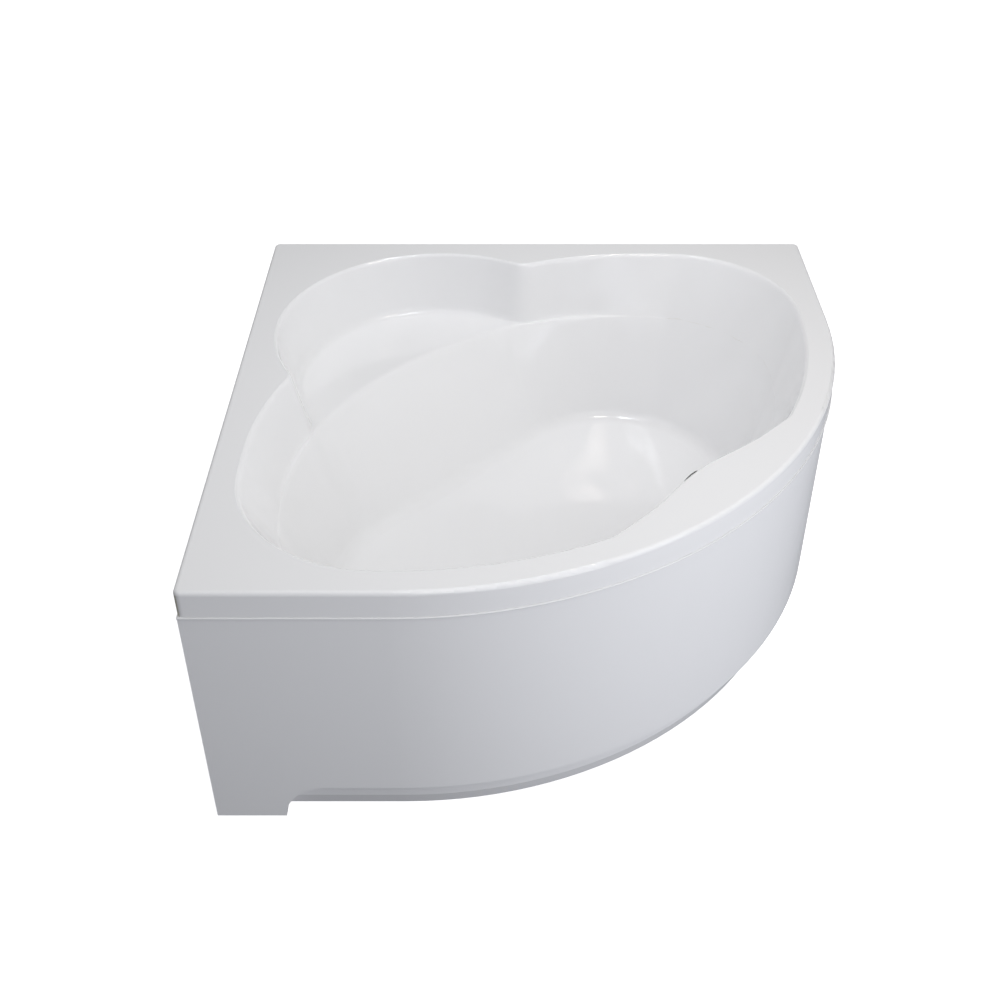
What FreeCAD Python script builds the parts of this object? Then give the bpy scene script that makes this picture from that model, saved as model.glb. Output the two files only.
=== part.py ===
import FreeCAD, Part
import math
import os
import re
from types import SimpleNamespace

import Sketcher
from FreeCAD import Placement, Rotation, Vector

# Corner bathtub with a built-in seat, in millimetres.
# Frame: the origin is on the floor under the middle of the square that the bath fills,
# X runs to the right, Y to the back wall and Z up. The room corner is at -X, +Y.
# Most pieces lie on the diagonal that runs from the room corner to the curved front.
# They are drawn with x along that diagonal, to the front, and y across it.

doc = FreeCAD.newDocument("corner_bath")
sheet = doc.addObject("Spreadsheet::Sheet", "sizes")

SIZES = {
    # whole bath
    "bath_length": 1400,
    "end_straight": 400,
    "rim_height": 640,
    # rim of the moulding
    "skirt_depth": 60,
    "skirt_wall": 5,
    "shell_skin": 6,
    "rim_width": 66,
    "corner_round": 14,
    "outer_edge_round": 9,
    "mouth_round": 9,
    "mouth_rise": 0.8,
    # outline of the basin's mouth
    "front_ledge": 112,
    "ledge_corner": 90,
    "ledge_swell": 19,
    "swell_reach": 200,
    "lobe_radius": 300,
    "side_radius": 760,
    "side_straight": 74,
    "nose_radius": 45,
    "seat_radius": 383,
    # seat and floor of the basin
    "seat_depth": 152,
    "seat_width": 266,
    "seat_draft": 13.5,
    "seat_foot_round": 20,
    "seat_edge_round": 9,
    "nose_step": 10,
    "basin_depth": 415,
    "floor_end_gap": 209,
    "floor_back_gap": 187,
    "floor_bulge": 39,
    "floor_front_gap": 130,
    "floor_round": 30,
    # boards and battens
    "board_thickness": 18,
    "board_margin": 65,
    "board_inset": 163,
    "board_drain_gap": 95,
    "board_corner": 40,
    "seat_board_thickness": 12,
    "seat_board_margin": 50,
    "seat_board_inset": 227,
    "batten_width": 30,
    "batten_end_gap": 40,
    "batten_short_end": 100,
    "front_batten_height": 40,
    "front_batten_angle": 35,
    # steel frame
    "rail_size": 30,
    "rail_wall": 2,
    "rail_inset": 30,
    "rail_overhang": 30,
    "tie_offset": 200,
    "post_inset": 120,
    "spine_inset": 115,
    "cap_plate": 3,
    "cap_plug": 12,
    # legs
    "stud_radius": 6,
    "stud_top_gap": 4,
    "foot_radius": 28,
    "foot_base": 6,
    "foot_height": 28,
    "foot_neck": 13,
    "foot_sole": 8,
    "nut_radius": 11.5,
    "nut_height": 10,
    "front_leg_offset": 300,
    "side_leg_inset": 45,
    "rear_leg_inset": 100,
    # front panel
    "panel_setback": 1.5,
    "panel_skin": 5,
    "panel_gap": 0.8,
    "panel_floor_gap": 2,
    "panel_flange": 30,
    "panel_edge_round": 3,
    "panel_foot": 148,
    "recess_height": 90,
    "recess_depth": 28,
    "kick_height": 34,
    "kick_slope": 10,
    "clip_width": 25,
    "clip_skin": 3,
    "clip_foot": 20,
    "clip_step": 15,
    "clip_drop": 8,
    "stay_offset": 220,
    "stay_width": 30,
    "stay_skin": 4,
    "stay_tab": 45,
    # wall brackets
    "bracket_offset": 350,
    "bracket_width": 50,
    "bracket_skin": 3,
    "bracket_drop": 60,
    "bracket_reach": 35,
    "bracket_hole": 4.5,
    "bracket_hole_drop": 35,
    # drain
    "drain_setback": 108,
    "drain_hole": 26,
    "flange_radius": 38,
    "flange_lip": 3,
    "flange_wall": 4,
    "flange_sleeve": 30,
    "hub_wall": 4,
    "hub_height": 12,
    "spoke_width": 4,
    "spoke_height": 6,
    "gasket_thickness": 3,
    "gasket_width": 13,
    "bowl_radius": 34,
    "bowl_wall": 4,
    "bowl_flange": 5,
    "bowl_depth": 60,
    "neck_length": 20,
    "plug_radius": 33,
    "plug_edge": 2.5,
    "plug_crown": 3,
    "plug_stem": 4,
    "plug_stem_length": 48,
    "seal_inner": 25,
    "seal_outer": 30,
    "seal_height": 1.2,
    # pipes
    "pipe_radius": 20,
    "pipe_wall": 3,
    "port_drop": 35,
    "port_reach": 59,
    "pipe_bend": 55,
    "trap_bend": 38,
    "trap_drop": 49,
    "trap_rise": 5,
    "trap_run": 30,
    "tail_length": 90,
    "tail_collar": 2,
    "nut_ring_radius": 27,
    "nut_ring_length": 22,
    "nut_rib": 2,
    "nut_rib_width": 5,
    # overflow
    "overflow_drop": 52,
    "overflow_hole": 24,
    "plate_radius": 35,
    "plate_thickness": 3,
    "plate_wall": 4,
    "plate_sleeve": 14,
    "chamber_radius": 31,
    "chamber_depth": 62,
    "spigot_offset": 37,
    "spigot_reach": 53,
    "knob_radius": 32,
    "knob_gap": 4,
    "knob_height": 6,
    "knob_round": 2.5,
    "knob_notch": 6,
    "knob_shaft": 5,
    "knob_shaft_length": 18,
    # clearances
    "slide_gap": 0.3,
    "fit_gap": 0.5,
}
for line, (name, value) in enumerate(SIZES.items(), start=1):
    sheet.set(f"A{line}", name)
    sheet.set(f"B{line}", str(value))
    sheet.setAlias(f"B{line}", name)
doc.recompute()
size = SimpleNamespace(**{name: float(sheet.get(name)) for name in SIZES})

# places worked out from the driving sizes, written as formulas
HALF = "(bath_length / 2)"
HALF_DIAGONAL = "(bath_length / sqrt(2))"
FRONT_RADIUS = "(bath_length - end_straight)"
FRONT_CENTER = "(sqrt(2) * (end_straight - bath_length / 2))"
LEDGE = f"({FRONT_CENTER} + {FRONT_RADIUS} - front_ledge)"
FLOOR_TOP = "(rim_height - basin_depth)"
FLOOR_UNDER = "(rim_height - basin_depth - shell_skin)"
RIM_UNDER = "(rim_height - shell_skin)"
SKIRT_UNDER = "(rim_height - skirt_depth)"
SEAT_UNDER = "(rim_height - seat_depth - shell_skin)"
SEAT_CENTER = "(sqrt(2) * (rim_width + seat_radius) - bath_length / sqrt(2))"
FLOOR_REACH = f"({HALF_DIAGONAL} - sqrt(2) * (rim_width + lobe_radius) + lobe_radius - floor_end_gap)"
FLOOR_BACK = f"({SEAT_CENTER} - seat_radius + seat_width + floor_back_gap)"
BOARD_BACK = f"({FLOOR_BACK} + floor_round + board_margin)"
DRAIN = f"({LEDGE} - floor_front_gap - drain_setback)"
BOARD_FRONT = f"({DRAIN} - board_drain_gap)"
BOARD_HALF = f"({FLOOR_REACH} - board_inset)"
RAIL_TOP = f"({FLOOR_UNDER} - board_thickness)"
RAIL_MIDDLE = f"({RAIL_TOP} - rail_size / 2)"
RAIL_UNDER = f"({RAIL_TOP} - rail_size)"
FRONT_RAIL = f"({BOARD_FRONT} - rail_inset)"
REAR_RAIL = f"({BOARD_BACK} + rail_inset)"
MIDDLE_RAIL = f"(({BOARD_FRONT} + {BOARD_BACK}) / 2)"
RAIL_HALF = f"({BOARD_HALF} + rail_overhang)"
POST_PLACE = f"({HALF_DIAGONAL} - post_inset)"
SPINE_END = f"(spine_inset - {HALF_DIAGONAL})"
SEAT_BOARD_BACK = (f"({SEAT_CENTER} - seat_radius + seat_depth * tan(seat_draft)"
                   " + seat_foot_round + seat_board_margin)")
SEAT_BOARD_FRONT = f"({SEAT_CENTER} - seat_radius + seat_width - 2 * seat_edge_round)"
SEAT_POST = f"(({SEAT_BOARD_BACK} + {SEAT_BOARD_FRONT}) / 2)"
PANEL_TOP = f"({SKIRT_UNDER} - panel_gap)"
FLANGE_UNDER = f"({PANEL_TOP} - panel_skin)"
RECESS_TOP = "(panel_floor_gap + recess_height)"
WALL_RUN = "(floor_front_gap - ledge_swell)"
WALL_SLANT = f"sqrt({WALL_RUN} ^ 2 + basin_depth ^ 2)"
WALL_SIN = f"({WALL_RUN} / {WALL_SLANT})"
WALL_COS = f"(basin_depth / {WALL_SLANT})"
OVERFLOW = f"({LEDGE} - ledge_swell - overflow_drop * {WALL_RUN} / basin_depth)"
OVERFLOW_LEVEL = "(rim_height - overflow_drop)"
SPIGOT_END = f"({OVERFLOW} + spigot_offset * {WALL_COS} - spigot_reach * {WALL_SIN})"
SPIGOT_LEVEL = f"({OVERFLOW_LEVEL} - spigot_offset * {WALL_SIN} - spigot_reach * {WALL_COS})"
PORT_LEVEL = f"({FLOOR_UNDER} - port_drop)"
PORT_END = f"({DRAIN} + port_reach)"
SLEEVE_RADIUS = "(drain_hole - fit_gap)"
STEM_BORE = "(plug_stem + slide_gap)"
PLATE_SLEEVE_RADIUS = "(overflow_hole - fit_gap)"
SHAFT_BORE = "(knob_shaft + slide_gap)"
BOWL_TOP = f"({FLOOR_UNDER} - gasket_thickness)"
BOWL_BOTTOM = f"({FLOOR_UNDER} - bowl_depth)"
NECK_BOTTOM = f"({BOWL_BOTTOM} - neck_length)"
PIPE_BORE = "(pipe_radius - pipe_wall)"

DIAGONAL = Rotation(Vector(0, 0, 1), -45)
UPRIGHT = Rotation()
ALONG_Y = Rotation(Vector(1, 0, 0), -90)
ALONG_X = Rotation(Vector(0, 1, 0), 90)
TO_CORNER = Rotation(Vector(0, 1, 0), Vector(0, 0, -1), Vector(-1, 0, 0), "ZXY")
TO_WALL = Rotation(Vector(0, 1, 0), -90)
SLANT = math.degrees(math.atan2(size.floor_front_gap - size.ledge_swell, size.basin_depth))
OUT_OF_WALL = Rotation(Vector(0, 1, 0), SLANT - 90)
DOWN_WALL = Rotation(Vector(0, 1, 0), SLANT)
SIDES = {"left": -1, "right": 1}

pieces = []


def tied(formula):
    """The formula with every size taken from the sheet."""
    return re.sub(r"[a-z_]+", lambda word: f"sizes.{word[0]}" if word[0] in SIZES else word[0],
                  str(formula))


def number(formula):
    """The formula's present value."""
    return float(sheet.evalExpression(tied(formula)))


def bind(thing, formulas):
    """Tie each named property of a feature to its formula."""
    for name, formula in formulas.items():
        thing.setExpression(name, tied(formula))


def place(piece, x, y, z, rotation=UPRIGHT):
    """Put a piece at a place in the bath's own frame."""
    piece.Placement = Placement(Vector(), rotation)
    bind(piece, {"Placement.Base.x": x, "Placement.Base.y": y, "Placement.Base.z": z})


def place_diagonal(piece, x, y, z, rotation=UPRIGHT):
    """Put a piece at x along the diagonal, to the front, and y across it."""
    across = f"(({x}) + ({y})) / sqrt(2)"
    along = f"(({y}) - ({x})) / sqrt(2)"
    place(piece, across, along, z, DIAGONAL.multiply(rotation))


def keep(piece, label):
    """Name a finished piece and list it."""
    piece.Label = label
    pieces.append(piece)
    return piece


def new_body(label):
    """An empty body under its name."""
    body = doc.addObject("PartDesign::Body", label)
    body.Label = label
    return body


def sketch(body, name, role, lift="0"):
    """A sketch on one of the body's own planes, lifted along that plane's normal."""
    flat = body.newObject("Sketcher::SketchObject", name)
    flat.AttachmentSupport = [([f for f in body.Origin.OriginFeatures if f.Role == role][0], "")]
    flat.MapMode = "FlatFace"
    bind(flat, {"AttachmentOffset.Base.z": lift})
    return flat


def fix_point(flat, item, end, x, y):
    """Hold one end of a sketch item at x, y."""
    for kind, formula in (("DistanceX", x), ("DistanceY", y)):
        rule = flat.addConstraint(Sketcher.Constraint(kind, -1, 1, item, end, number(formula)))
        flat.setExpression(f"Constraints[{rule}]", tied(formula))


def fix_radius(flat, item, radius):
    """Hold the radius of a sketch item."""
    rule = flat.addConstraint(Sketcher.Constraint("Radius", item, number(radius)))
    flat.setExpression(f"Constraints[{rule}]", tied(radius))


def draw(flat, start, legs, closed=True):
    """A chain of lines (x, y) and arcs (x, y, radius, centre x, centre y) from a start point."""
    at = start
    for leg in legs + ([start] if closed else []):
        ends = [at, leg]
        begin, end = (Vector(number(point[0]), number(point[1]), 0) for point in ends)
        if len(leg) == 2:
            item = flat.addGeometry(Part.LineSegment(begin, end))
        else:
            center = Vector(number(leg[3]), number(leg[4]), 0)
            if (begin - center).cross(end - center).z < 0:
                ends.reverse()
                begin, end = end, begin
            ring = Part.Circle(center, Vector(0, 0, 1), number(leg[2]))
            item = flat.addGeometry(Part.ArcOfCircle(ring, ring.parameter(begin), ring.parameter(end)))
            fix_radius(flat, item, leg[2])
        for which, point in enumerate(ends, start=1):
            fix_point(flat, item, which, point[0], point[1])
        at = leg


def circle(flat, radius, x="0", y="0"):
    """A circle about x, y."""
    item = flat.addGeometry(Part.Circle(Vector(number(x), number(y), 0), Vector(0, 0, 1),
                                        number(radius)))
    fix_radius(flat, item, radius)
    fix_point(flat, item, 3, x, y)


def rectangle(flat, x_low, y_low, x_high, y_high):
    """A rectangle between two corners."""
    draw(flat, (x_low, y_low), [(x_high, y_low), (x_high, y_high), (x_low, y_high)])


def square(flat, half_side):
    """A square about the sketch's origin."""
    rectangle(flat, f"-{half_side}", f"-{half_side}", half_side, half_side)


def pad(body, flat, length, reverse=False, both_ways=False):
    """Material raised on a sketch."""
    feature = body.newObject("PartDesign::Pad", flat.Name + "_pad")
    feature.Profile = flat
    feature.Reversed = reverse
    feature.Midplane = both_ways
    bind(feature, {"Length": length})
    return feature


def pocket(body, flat, length, reverse=False):
    """Material taken away under a sketch."""
    feature = body.newObject("PartDesign::Pocket", flat.Name + "_pocket")
    feature.Profile = flat
    feature.Reversed = reverse
    bind(feature, {"Length": length})
    return feature


def revolve(body, flat):
    """A full turn of a sketch about its upright axis."""
    feature = body.newObject("PartDesign::Revolution", flat.Name + "_turn")
    feature.Profile = flat
    feature.ReferenceAxis = (flat, ["V_Axis"])
    feature.Angle = 360
    return feature


def around(body, feature, count):
    """Copies of a feature spread evenly round the upright axis."""
    pattern = body.newObject("PartDesign::PolarPattern", feature.Name + "_round")
    pattern.Originals = [feature]
    axis = [f for f in body.Origin.OriginFeatures if f.Role == "Z_Axis"][0]
    pattern.Axis = (axis, [""])
    pattern.Angle = 360
    pattern.Occurrences = count
    body.Tip = pattern
    return pattern


def sweep(body, flat, path):
    """A section carried along a path sketch."""
    feature = body.newObject("PartDesign::AdditivePipe", flat.Name + "_sweep")
    feature.Profile = flat
    feature.Spine = (path, [f"Edge{edge + 1}" for edge in range(path.GeometryCount)])
    return feature


def turned(label, start, legs):
    """A body turned from one outline of radius and level."""
    body = new_body(label)
    outline = sketch(body, label + "_outline", "XZ_Plane")
    draw(outline, start, legs)
    revolve(body, outline)
    return body


def group(label, members):
    """Equal pieces that share one name."""
    cluster = doc.addObject("Part::Compound", label)
    cluster.Links = members
    return keep(cluster, label)


# Basin: plan outlines, given for one half from the front of the axis round to the seat
ROOT_TWO = math.sqrt(2)
half_diagonal = size.bath_length / ROOT_TWO
front_radius = size.bath_length - size.end_straight
front_center = ROOT_TWO * (size.end_straight - size.bath_length / 2)
ledge_x = front_center + front_radius - size.front_ledge
lobe_center = (0, half_diagonal - ROOT_TWO * (size.rim_width + size.lobe_radius))
seat_center = (ROOT_TWO * (size.rim_width + size.seat_radius) - half_diagonal, 0)
side_reach = size.bath_length - size.rim_width - size.lobe_radius - size.side_straight
side_center = ((side_reach + size.rim_width + size.side_radius) / ROOT_TWO - half_diagonal,
               (side_reach - size.rim_width - size.side_radius) / ROOT_TWO)
floor_reach = number(FLOOR_REACH)
floor_back = number(FLOOR_BACK)

# points on the ledge, its corner, front arc, end, lobe, wall side, side arc, nose and seat arc
STEPS = (6, 4, 7, 2, 8, 3, 7, 6, 9)
NOSE_START = sum(STEPS[:7])
NOSE_TIP = NOSE_START + STEPS[7] // 2
LOBE_END = sum(STEPS[:5])
# turns about the middle of the floor's end where the end, lobe, side, side arc and nose stop
END_TURNS = (45, 122, 131, 167, 175)
# columns beside a nose that keep the seat's step, and those over which it fades into the wall
HOLD_STEPS = 1
FADE_STEPS = 7
# rounds of evening out the edge of that step
BRINK_PASSES = 6


def circles_meet(first, first_radius, second, second_radius):
    """Where two circles cross, on the left of the way from the first to the second."""
    gap = math.dist(first, second)
    along = (first_radius ** 2 - second_radius ** 2 + gap ** 2) / (2 * gap)
    across = math.sqrt(first_radius ** 2 - along ** 2)
    way = ((second[0] - first[0]) / gap, (second[1] - first[1]) / gap)
    return (first[0] + way[0] * along - way[1] * across, first[1] + way[1] * along + way[0] * across)


nose_center = circles_meet(seat_center, size.seat_radius + size.nose_radius,
                           side_center, size.side_radius + size.nose_radius)
nose_side = math.degrees(math.atan2(nose_center[1] - side_center[1], nose_center[0] - side_center[0]))
nose_seat = math.degrees(math.atan2(nose_center[1], nose_center[0] - seat_center[0]))


def polar(center, radius, angle):
    """The point on a circle at an angle."""
    return (center[0] + radius * math.cos(math.radians(angle)),
            center[1] + radius * math.sin(math.radians(angle)))


def between(start, end, share):
    """The point at a share of the way between two points."""
    return tuple(a + (b - a) * share for a, b in zip(start, end))


def arc_points(center, radius, start, end, steps):
    """Even points on an arc, without its last one."""
    return [polar(center, radius, start + (end - start) * step / steps) for step in range(steps)]


def line_points(start, end, steps):
    """Even points on a line, without its last one."""
    return [between(start, end, step / steps) for step in range(steps)]


def front_points(ledge, radius, corner, end_turn, swell):
    """The ledge with its swell, its corner and the front arc up to a turn about the front's centre."""
    corner_x = ledge - corner
    corner_y = math.sqrt((radius - corner) ** 2 - (corner_x - front_center) ** 2)
    turn = math.degrees(math.atan2(corner_y, corner_x - front_center))
    points = []
    for x, y in line_points((ledge, 0), (ledge, corner_y), STEPS[0]):
        wave = math.cos(math.pi * min(y / size.swell_reach, 1))
        points.append((x - swell * (1 + wave) / 2, y))
    points += arc_points((corner_x, corner_y), corner, 0, turn, STEPS[1])
    points += arc_points((front_center, 0), radius, turn, end_turn, STEPS[2])
    return points


def mouth_outline(inset):
    """The basin's mouth, drawn in by an inset all round."""
    front = front_radius - size.rim_width - inset
    lobe = size.lobe_radius - inset
    side = size.side_radius - inset
    points = front_points(ledge_x - inset, front, size.ledge_corner, 45, size.ledge_swell)
    points += line_points(polar((front_center, 0), front, 45), polar(lobe_center, lobe, 45), STEPS[3])
    points += arc_points(lobe_center, lobe, 45, 135, STEPS[4])
    points += line_points(polar(lobe_center, lobe, 135), polar(side_center, side, 135), STEPS[5])
    points += arc_points(side_center, side, 135, nose_side, STEPS[6])
    points += arc_points(nose_center, size.nose_radius + inset, nose_side - 180, nose_seat - 180, STEPS[7])
    points += arc_points(seat_center, size.seat_radius - inset, nose_seat, 180, STEPS[8])
    return points + [(seat_center[0] - size.seat_radius + inset, 0)]


def floor_outline(inset):
    """The floor's edge, drawn in by an inset all round, point for point under the mouth."""
    floor_front = ledge_x - size.floor_front_gap
    end_radius = (floor_front - floor_back - size.floor_bulge) / 2
    end = (floor_back + end_radius, floor_reach - end_radius)
    radius = end_radius - inset
    front = math.dist(end, (front_center, 0)) + radius
    turn = math.degrees(math.atan2(end[1], end[0] - front_center))
    points = front_points(floor_front - inset, front, size.ledge_corner, turn, 0)
    for start_turn, end_turn, steps in zip((turn,) + END_TURNS, END_TURNS, STEPS[3:8]):
        points += arc_points(end, radius, start_turn, end_turn, steps)
    corner = polar(end, radius, END_TURNS[-1])
    back = end[0] - radius
    for step in range(STEPS[8] + 1):
        share = 1 - step / STEPS[8]
        points.append((back + (corner[0] - back) * share ** 6, corner[1] * share))
    return points


def straightness():
    """How far each wall point runs straight to the floor (1) or stands on the seat's step (0)."""
    shares = [step / FADE_STEPS for step in range(FADE_STEPS)]
    eased = [1 - share * share * (3 - 2 * share) for share in shares]
    straight = NOSE_START - HOLD_STEPS - FADE_STEPS
    return [1.0] * straight + eased + [0.0] * (HOLD_STEPS + STEPS[7] + STEPS[8] + 1)


def toward(start, end, distance):
    """The point a distance along the way to another point, at most just short of halfway."""
    gap = math.dist(start, end)
    return between(start, end, min(distance / gap, 0.45))


def faired(points, start, end):
    """A row of points with one stretch evened out."""
    for _ in range(BRINK_PASSES):
        before, here, after = points[start - 1:end - 1], points[start:end], points[start + 1:end + 1]
        even = [tuple((a + 2 * b + c) / 4 for a, b, c in zip(*three)) for three in zip(before, here, after)]
        points = points[:start] + even + points[end:]
    return points


def basin_rows(skin):
    """Control rows of one face of the moulding, from its mouth down to the flat of the floor.

    Without a skin they give the inner face, whose mouth rolls out onto the rim. With one they
    give the outer face, which runs straight up into the rim.
    """
    step_level = size.rim_height - size.seat_depth - skin
    floor_level = size.rim_height - size.basin_depth - skin
    slope = size.floor_front_gap / size.basin_depth
    draft = size.seat_depth * math.tan(math.radians(size.seat_draft))
    lip = mouth_outline(-size.mouth_round)
    rim = mouth_outline(-skin)
    foot = mouth_outline(draft - skin)
    floor = floor_outline(skin * (slope - 1))
    flat = floor_outline(size.floor_round + skin * (slope - 1))
    # front edge of the seat: an even curve through both noses
    edge_x = seat_center[0] - size.seat_radius + size.seat_width
    tip = foot[NOSE_TIP]
    sag = tip[0] + size.nose_step - edge_x
    strides = [math.dist(*pair) for pair in zip(rim[NOSE_TIP:], rim[NOSE_TIP + 1:])]
    step_share = size.seat_depth / size.basin_depth
    brink_share = (size.seat_depth + size.seat_edge_round / 2) / size.basin_depth
    tops = [(*point, size.rim_height) for point in rim]
    lows = [(*point, floor_level) for point in floor]
    bends, brinks = [], []
    for spot, straight in enumerate(straightness()):
        top, low = tops[spot], lows[spot]
        heel = (*foot[spot], step_level)
        edge = toward(heel, (*floor[spot], step_level), size.nose_step)
        if spot >= NOSE_TIP:
            share = sum(strides[spot - NOSE_TIP:]) / sum(strides)
            edge = (edge_x + sag * share ** 2, tip[1] * share, step_level)
        bends.append(between(heel, between(top, low, step_share), straight))
        brinks.append(between(edge, between(top, low, brink_share), straight))
    brinks = faired(brinks, LOBE_END, NOSE_TIP + STEPS[8] // 2)
    rows = []
    for spot, (top, bend, brink, low) in enumerate(zip(tops, bends, brinks, lows)):
        mouth = [(*lip[spot], size.rim_height + size.mouth_rise), top]
        if skin:
            inside_rim = between(top, bend, skin / 2 / (top[2] - bend[2]))
            mouth = [inside_rim, toward(top, bend, size.mouth_round)]
        rows.append(mouth + [
            toward(top, bend, 2 * size.mouth_round),
            toward(bend, top, 2 * size.seat_foot_round),
            bend,
            toward(bend, brink, 2 * size.seat_foot_round),
            toward(brink, bend, 2 * size.seat_edge_round),
            brink,
            toward(brink, low, 2 * size.seat_edge_round),
            toward(low, brink, 2 * size.floor_round),
            low,
            (*flat[spot], floor_level),
        ])
    return list(zip(*rows))


def basin_solid(rows):
    """A closed solid under one smooth face through the control rows, mirrored about the axis."""
    loops = []
    for half in rows:
        mirrored = [(x, -y, z) for x, y, z in half[-2:0:-1]]
        loops.append([Vector(*point) for point in list(half) + mirrored])
    lengths = [0.0]
    for spot, _ in enumerate(loops[0]):
        strides = [loop[spot].distanceToPoint(loop[(spot + 1) % len(loop)]) for loop in loops]
        lengths.append(lengths[-1] + sum(strides))
    marks = [length / lengths[-1] for length in lengths]
    columns = []
    for loop in loops:
        curve = Part.BSplineCurve()
        curve.interpolate(Points=loop, PeriodicFlag=True, Parameters=marks)
        columns.append(curve.getPoles())
    count = len(columns)
    face = Part.BSplineSurface()
    face.buildFromPolesMultsKnots(
        [list(column) for column in zip(*columns)], curve.getMultiplicities(),
        [3] + [1] * (count - 3) + [3], curve.getKnots(), list(range(count - 1)),
        True, False, curve.Degree, 2)
    wall = face.toShape()
    level_edges = [edge for edge in wall.Edges if edge.BoundBox.ZLength < 1e-6]
    shell = Part.Shell([wall] + [Part.Face(Part.Wire([edge])) for edge in level_edges])
    shell.sewShape()
    solid = Part.Solid(shell)
    if solid.Volume < 0:
        solid.reverse()
    return solid


def basin_feature(name, rows):
    """One face of the basin as a solid, turned onto the diagonal."""
    feature = doc.addObject("Part::Feature", name)
    feature.Shape = basin_solid(rows)
    feature.Placement = Placement(Vector(), DIAGONAL)
    return feature


def round_edges(body, base, name, edges, radius):
    """Rounds on chosen edges of a feature."""
    feature = body.newObject("PartDesign::Fillet", name)
    feature.Base = (base, edges)
    bind(feature, {"Radius": radius})
    return feature


def upright_edges(shape, corners):
    """Names of the upright edges that stand at the given corners."""
    found = []
    for count, edge in enumerate(shape.Edges, start=1):
        box = edge.BoundBox
        foot = (box.Center.x, box.Center.y)
        thin = box.XLength < 1e-6 and box.YLength < 1e-6
        if thin and any(math.dist(foot, corner) < 1e-3 for corner in corners):
            found.append(f"Edge{count}")
    return found


def bath_outline(flat, inset):
    """The bath's plan: two wall sides, two short ends and the curved front."""
    low = f"({inset} - {HALF})"
    high = f"({HALF} - ({inset}))"
    draw(flat, (low, high), [
        (low, low),
        (f"end_straight - {HALF}", low),
        (high, f"{HALF} - end_straight", f"{FRONT_RADIUS} - ({inset})",
         f"end_straight - {HALF}", f"{HALF} - end_straight"),
        (high, high),
    ])


def make_shell():
    """The bath moulding: rim with its turned-down skirt, basin, seat, drain and overflow holes."""
    rim = new_body("rim")
    outer = sketch(rim, "rim_outline", "XY_Plane")
    bath_outline(outer, "0")
    block = pad(rim, outer, "skirt_depth")
    place(rim, "0", "0", SKIRT_UNDER)
    doc.recompute()
    half = size.bath_length / 2
    corners = [(-half, half), (-half, -half), (half, half)]
    sharp = round_edges(rim, block, "rim_corners", upright_edges(block.Shape, corners), "corner_round")
    doc.recompute()
    top_edges = [f"Edge{count}" for count, edge in enumerate(sharp.Shape.Edges, start=1)
                 if abs(edge.BoundBox.ZMin - sharp.Shape.BoundBox.ZMax) < 1e-6]
    round_edges(rim, sharp, "rim_edge", top_edges, "outer_edge_round")
    inner = sketch(rim, "rim_hollow", "XY_Plane")
    bath_outline(inner, "skirt_wall")
    hollow = pocket(rim, inner, "skirt_depth - shell_skin", reverse=True)
    doc.recompute()
    reach = half - size.skirt_wall
    corners = [(-reach, reach), (-reach, -reach), (reach, reach)]
    round_edges(rim, hollow, "hollow_corners", upright_edges(hollow.Shape, corners),
                "corner_round - skirt_wall")

    inside = basin_feature("basin_inside", basin_rows(0))
    outside = basin_feature("basin_outside", basin_rows(size.shell_skin))
    whole = doc.addObject("Part::Fuse", "moulding")
    whole.Base = rim
    whole.Tool = outside
    hollowed = doc.addObject("Part::Cut", "hollowed_moulding")
    hollowed.Base = whole
    hollowed.Tool = inside
    drain = doc.addObject("Part::Cylinder", "drain_cut")
    bind(drain, {"Radius": "drain_hole", "Height": "4 * shell_skin"})
    place_diagonal(drain, DRAIN, "0", f"{FLOOR_UNDER} - shell_skin")
    drained = doc.addObject("Part::Cut", "drained_moulding")
    drained.Base = hollowed
    drained.Tool = drain
    overflow = doc.addObject("Part::Cylinder", "overflow_cut")
    bind(overflow, {"Radius": "overflow_hole", "Height": "6 * shell_skin"})
    place_diagonal(overflow, f"{OVERFLOW} + 3 * shell_skin * {WALL_COS}", "0",
                   f"{OVERFLOW_LEVEL} - 3 * shell_skin * {WALL_SIN}", OUT_OF_WALL)
    shell = doc.addObject("Part::Cut", "bath_shell")
    shell.Base = drained
    shell.Tool = overflow
    keep(shell, "bath_shell")


def make_boards():
    """Boards bonded under the floor and the seat."""
    board = new_body("base_board")
    flat = sketch(board, "base_board_plan", "XY_Plane")
    round_back, round_front = f"{BOARD_BACK} + board_corner", f"{BOARD_FRONT} - board_corner"
    round_side = f"({BOARD_HALF} - board_corner)"
    draw(flat, (BOARD_FRONT, round_side), [
        (round_front, BOARD_HALF, "board_corner", round_front, round_side),
        (round_back, BOARD_HALF),
        (BOARD_BACK, round_side, "board_corner", round_back, round_side),
        (BOARD_BACK, f"-{round_side}"),
        (round_back, f"-{BOARD_HALF}", "board_corner", round_back, f"-{round_side}"),
        (round_front, f"-{BOARD_HALF}"),
        (BOARD_FRONT, f"-{round_side}", "board_corner", round_front, f"-{round_side}"),
    ])
    pad(board, flat, "board_thickness")
    place_diagonal(board, "0", "0", RAIL_TOP)
    keep(board, "base_board")

    board = new_body("seat_board")
    flat = sketch(board, "seat_board_plan", "XY_Plane")
    half = "(seat_radius - seat_board_inset)"
    rectangle(flat, SEAT_BOARD_BACK, f"-{half}", SEAT_BOARD_FRONT, half)
    pad(board, flat, "seat_board_thickness")
    place_diagonal(board, "0", "0", f"{SEAT_UNDER} - seat_board_thickness")
    keep(board, "seat_board")


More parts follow.
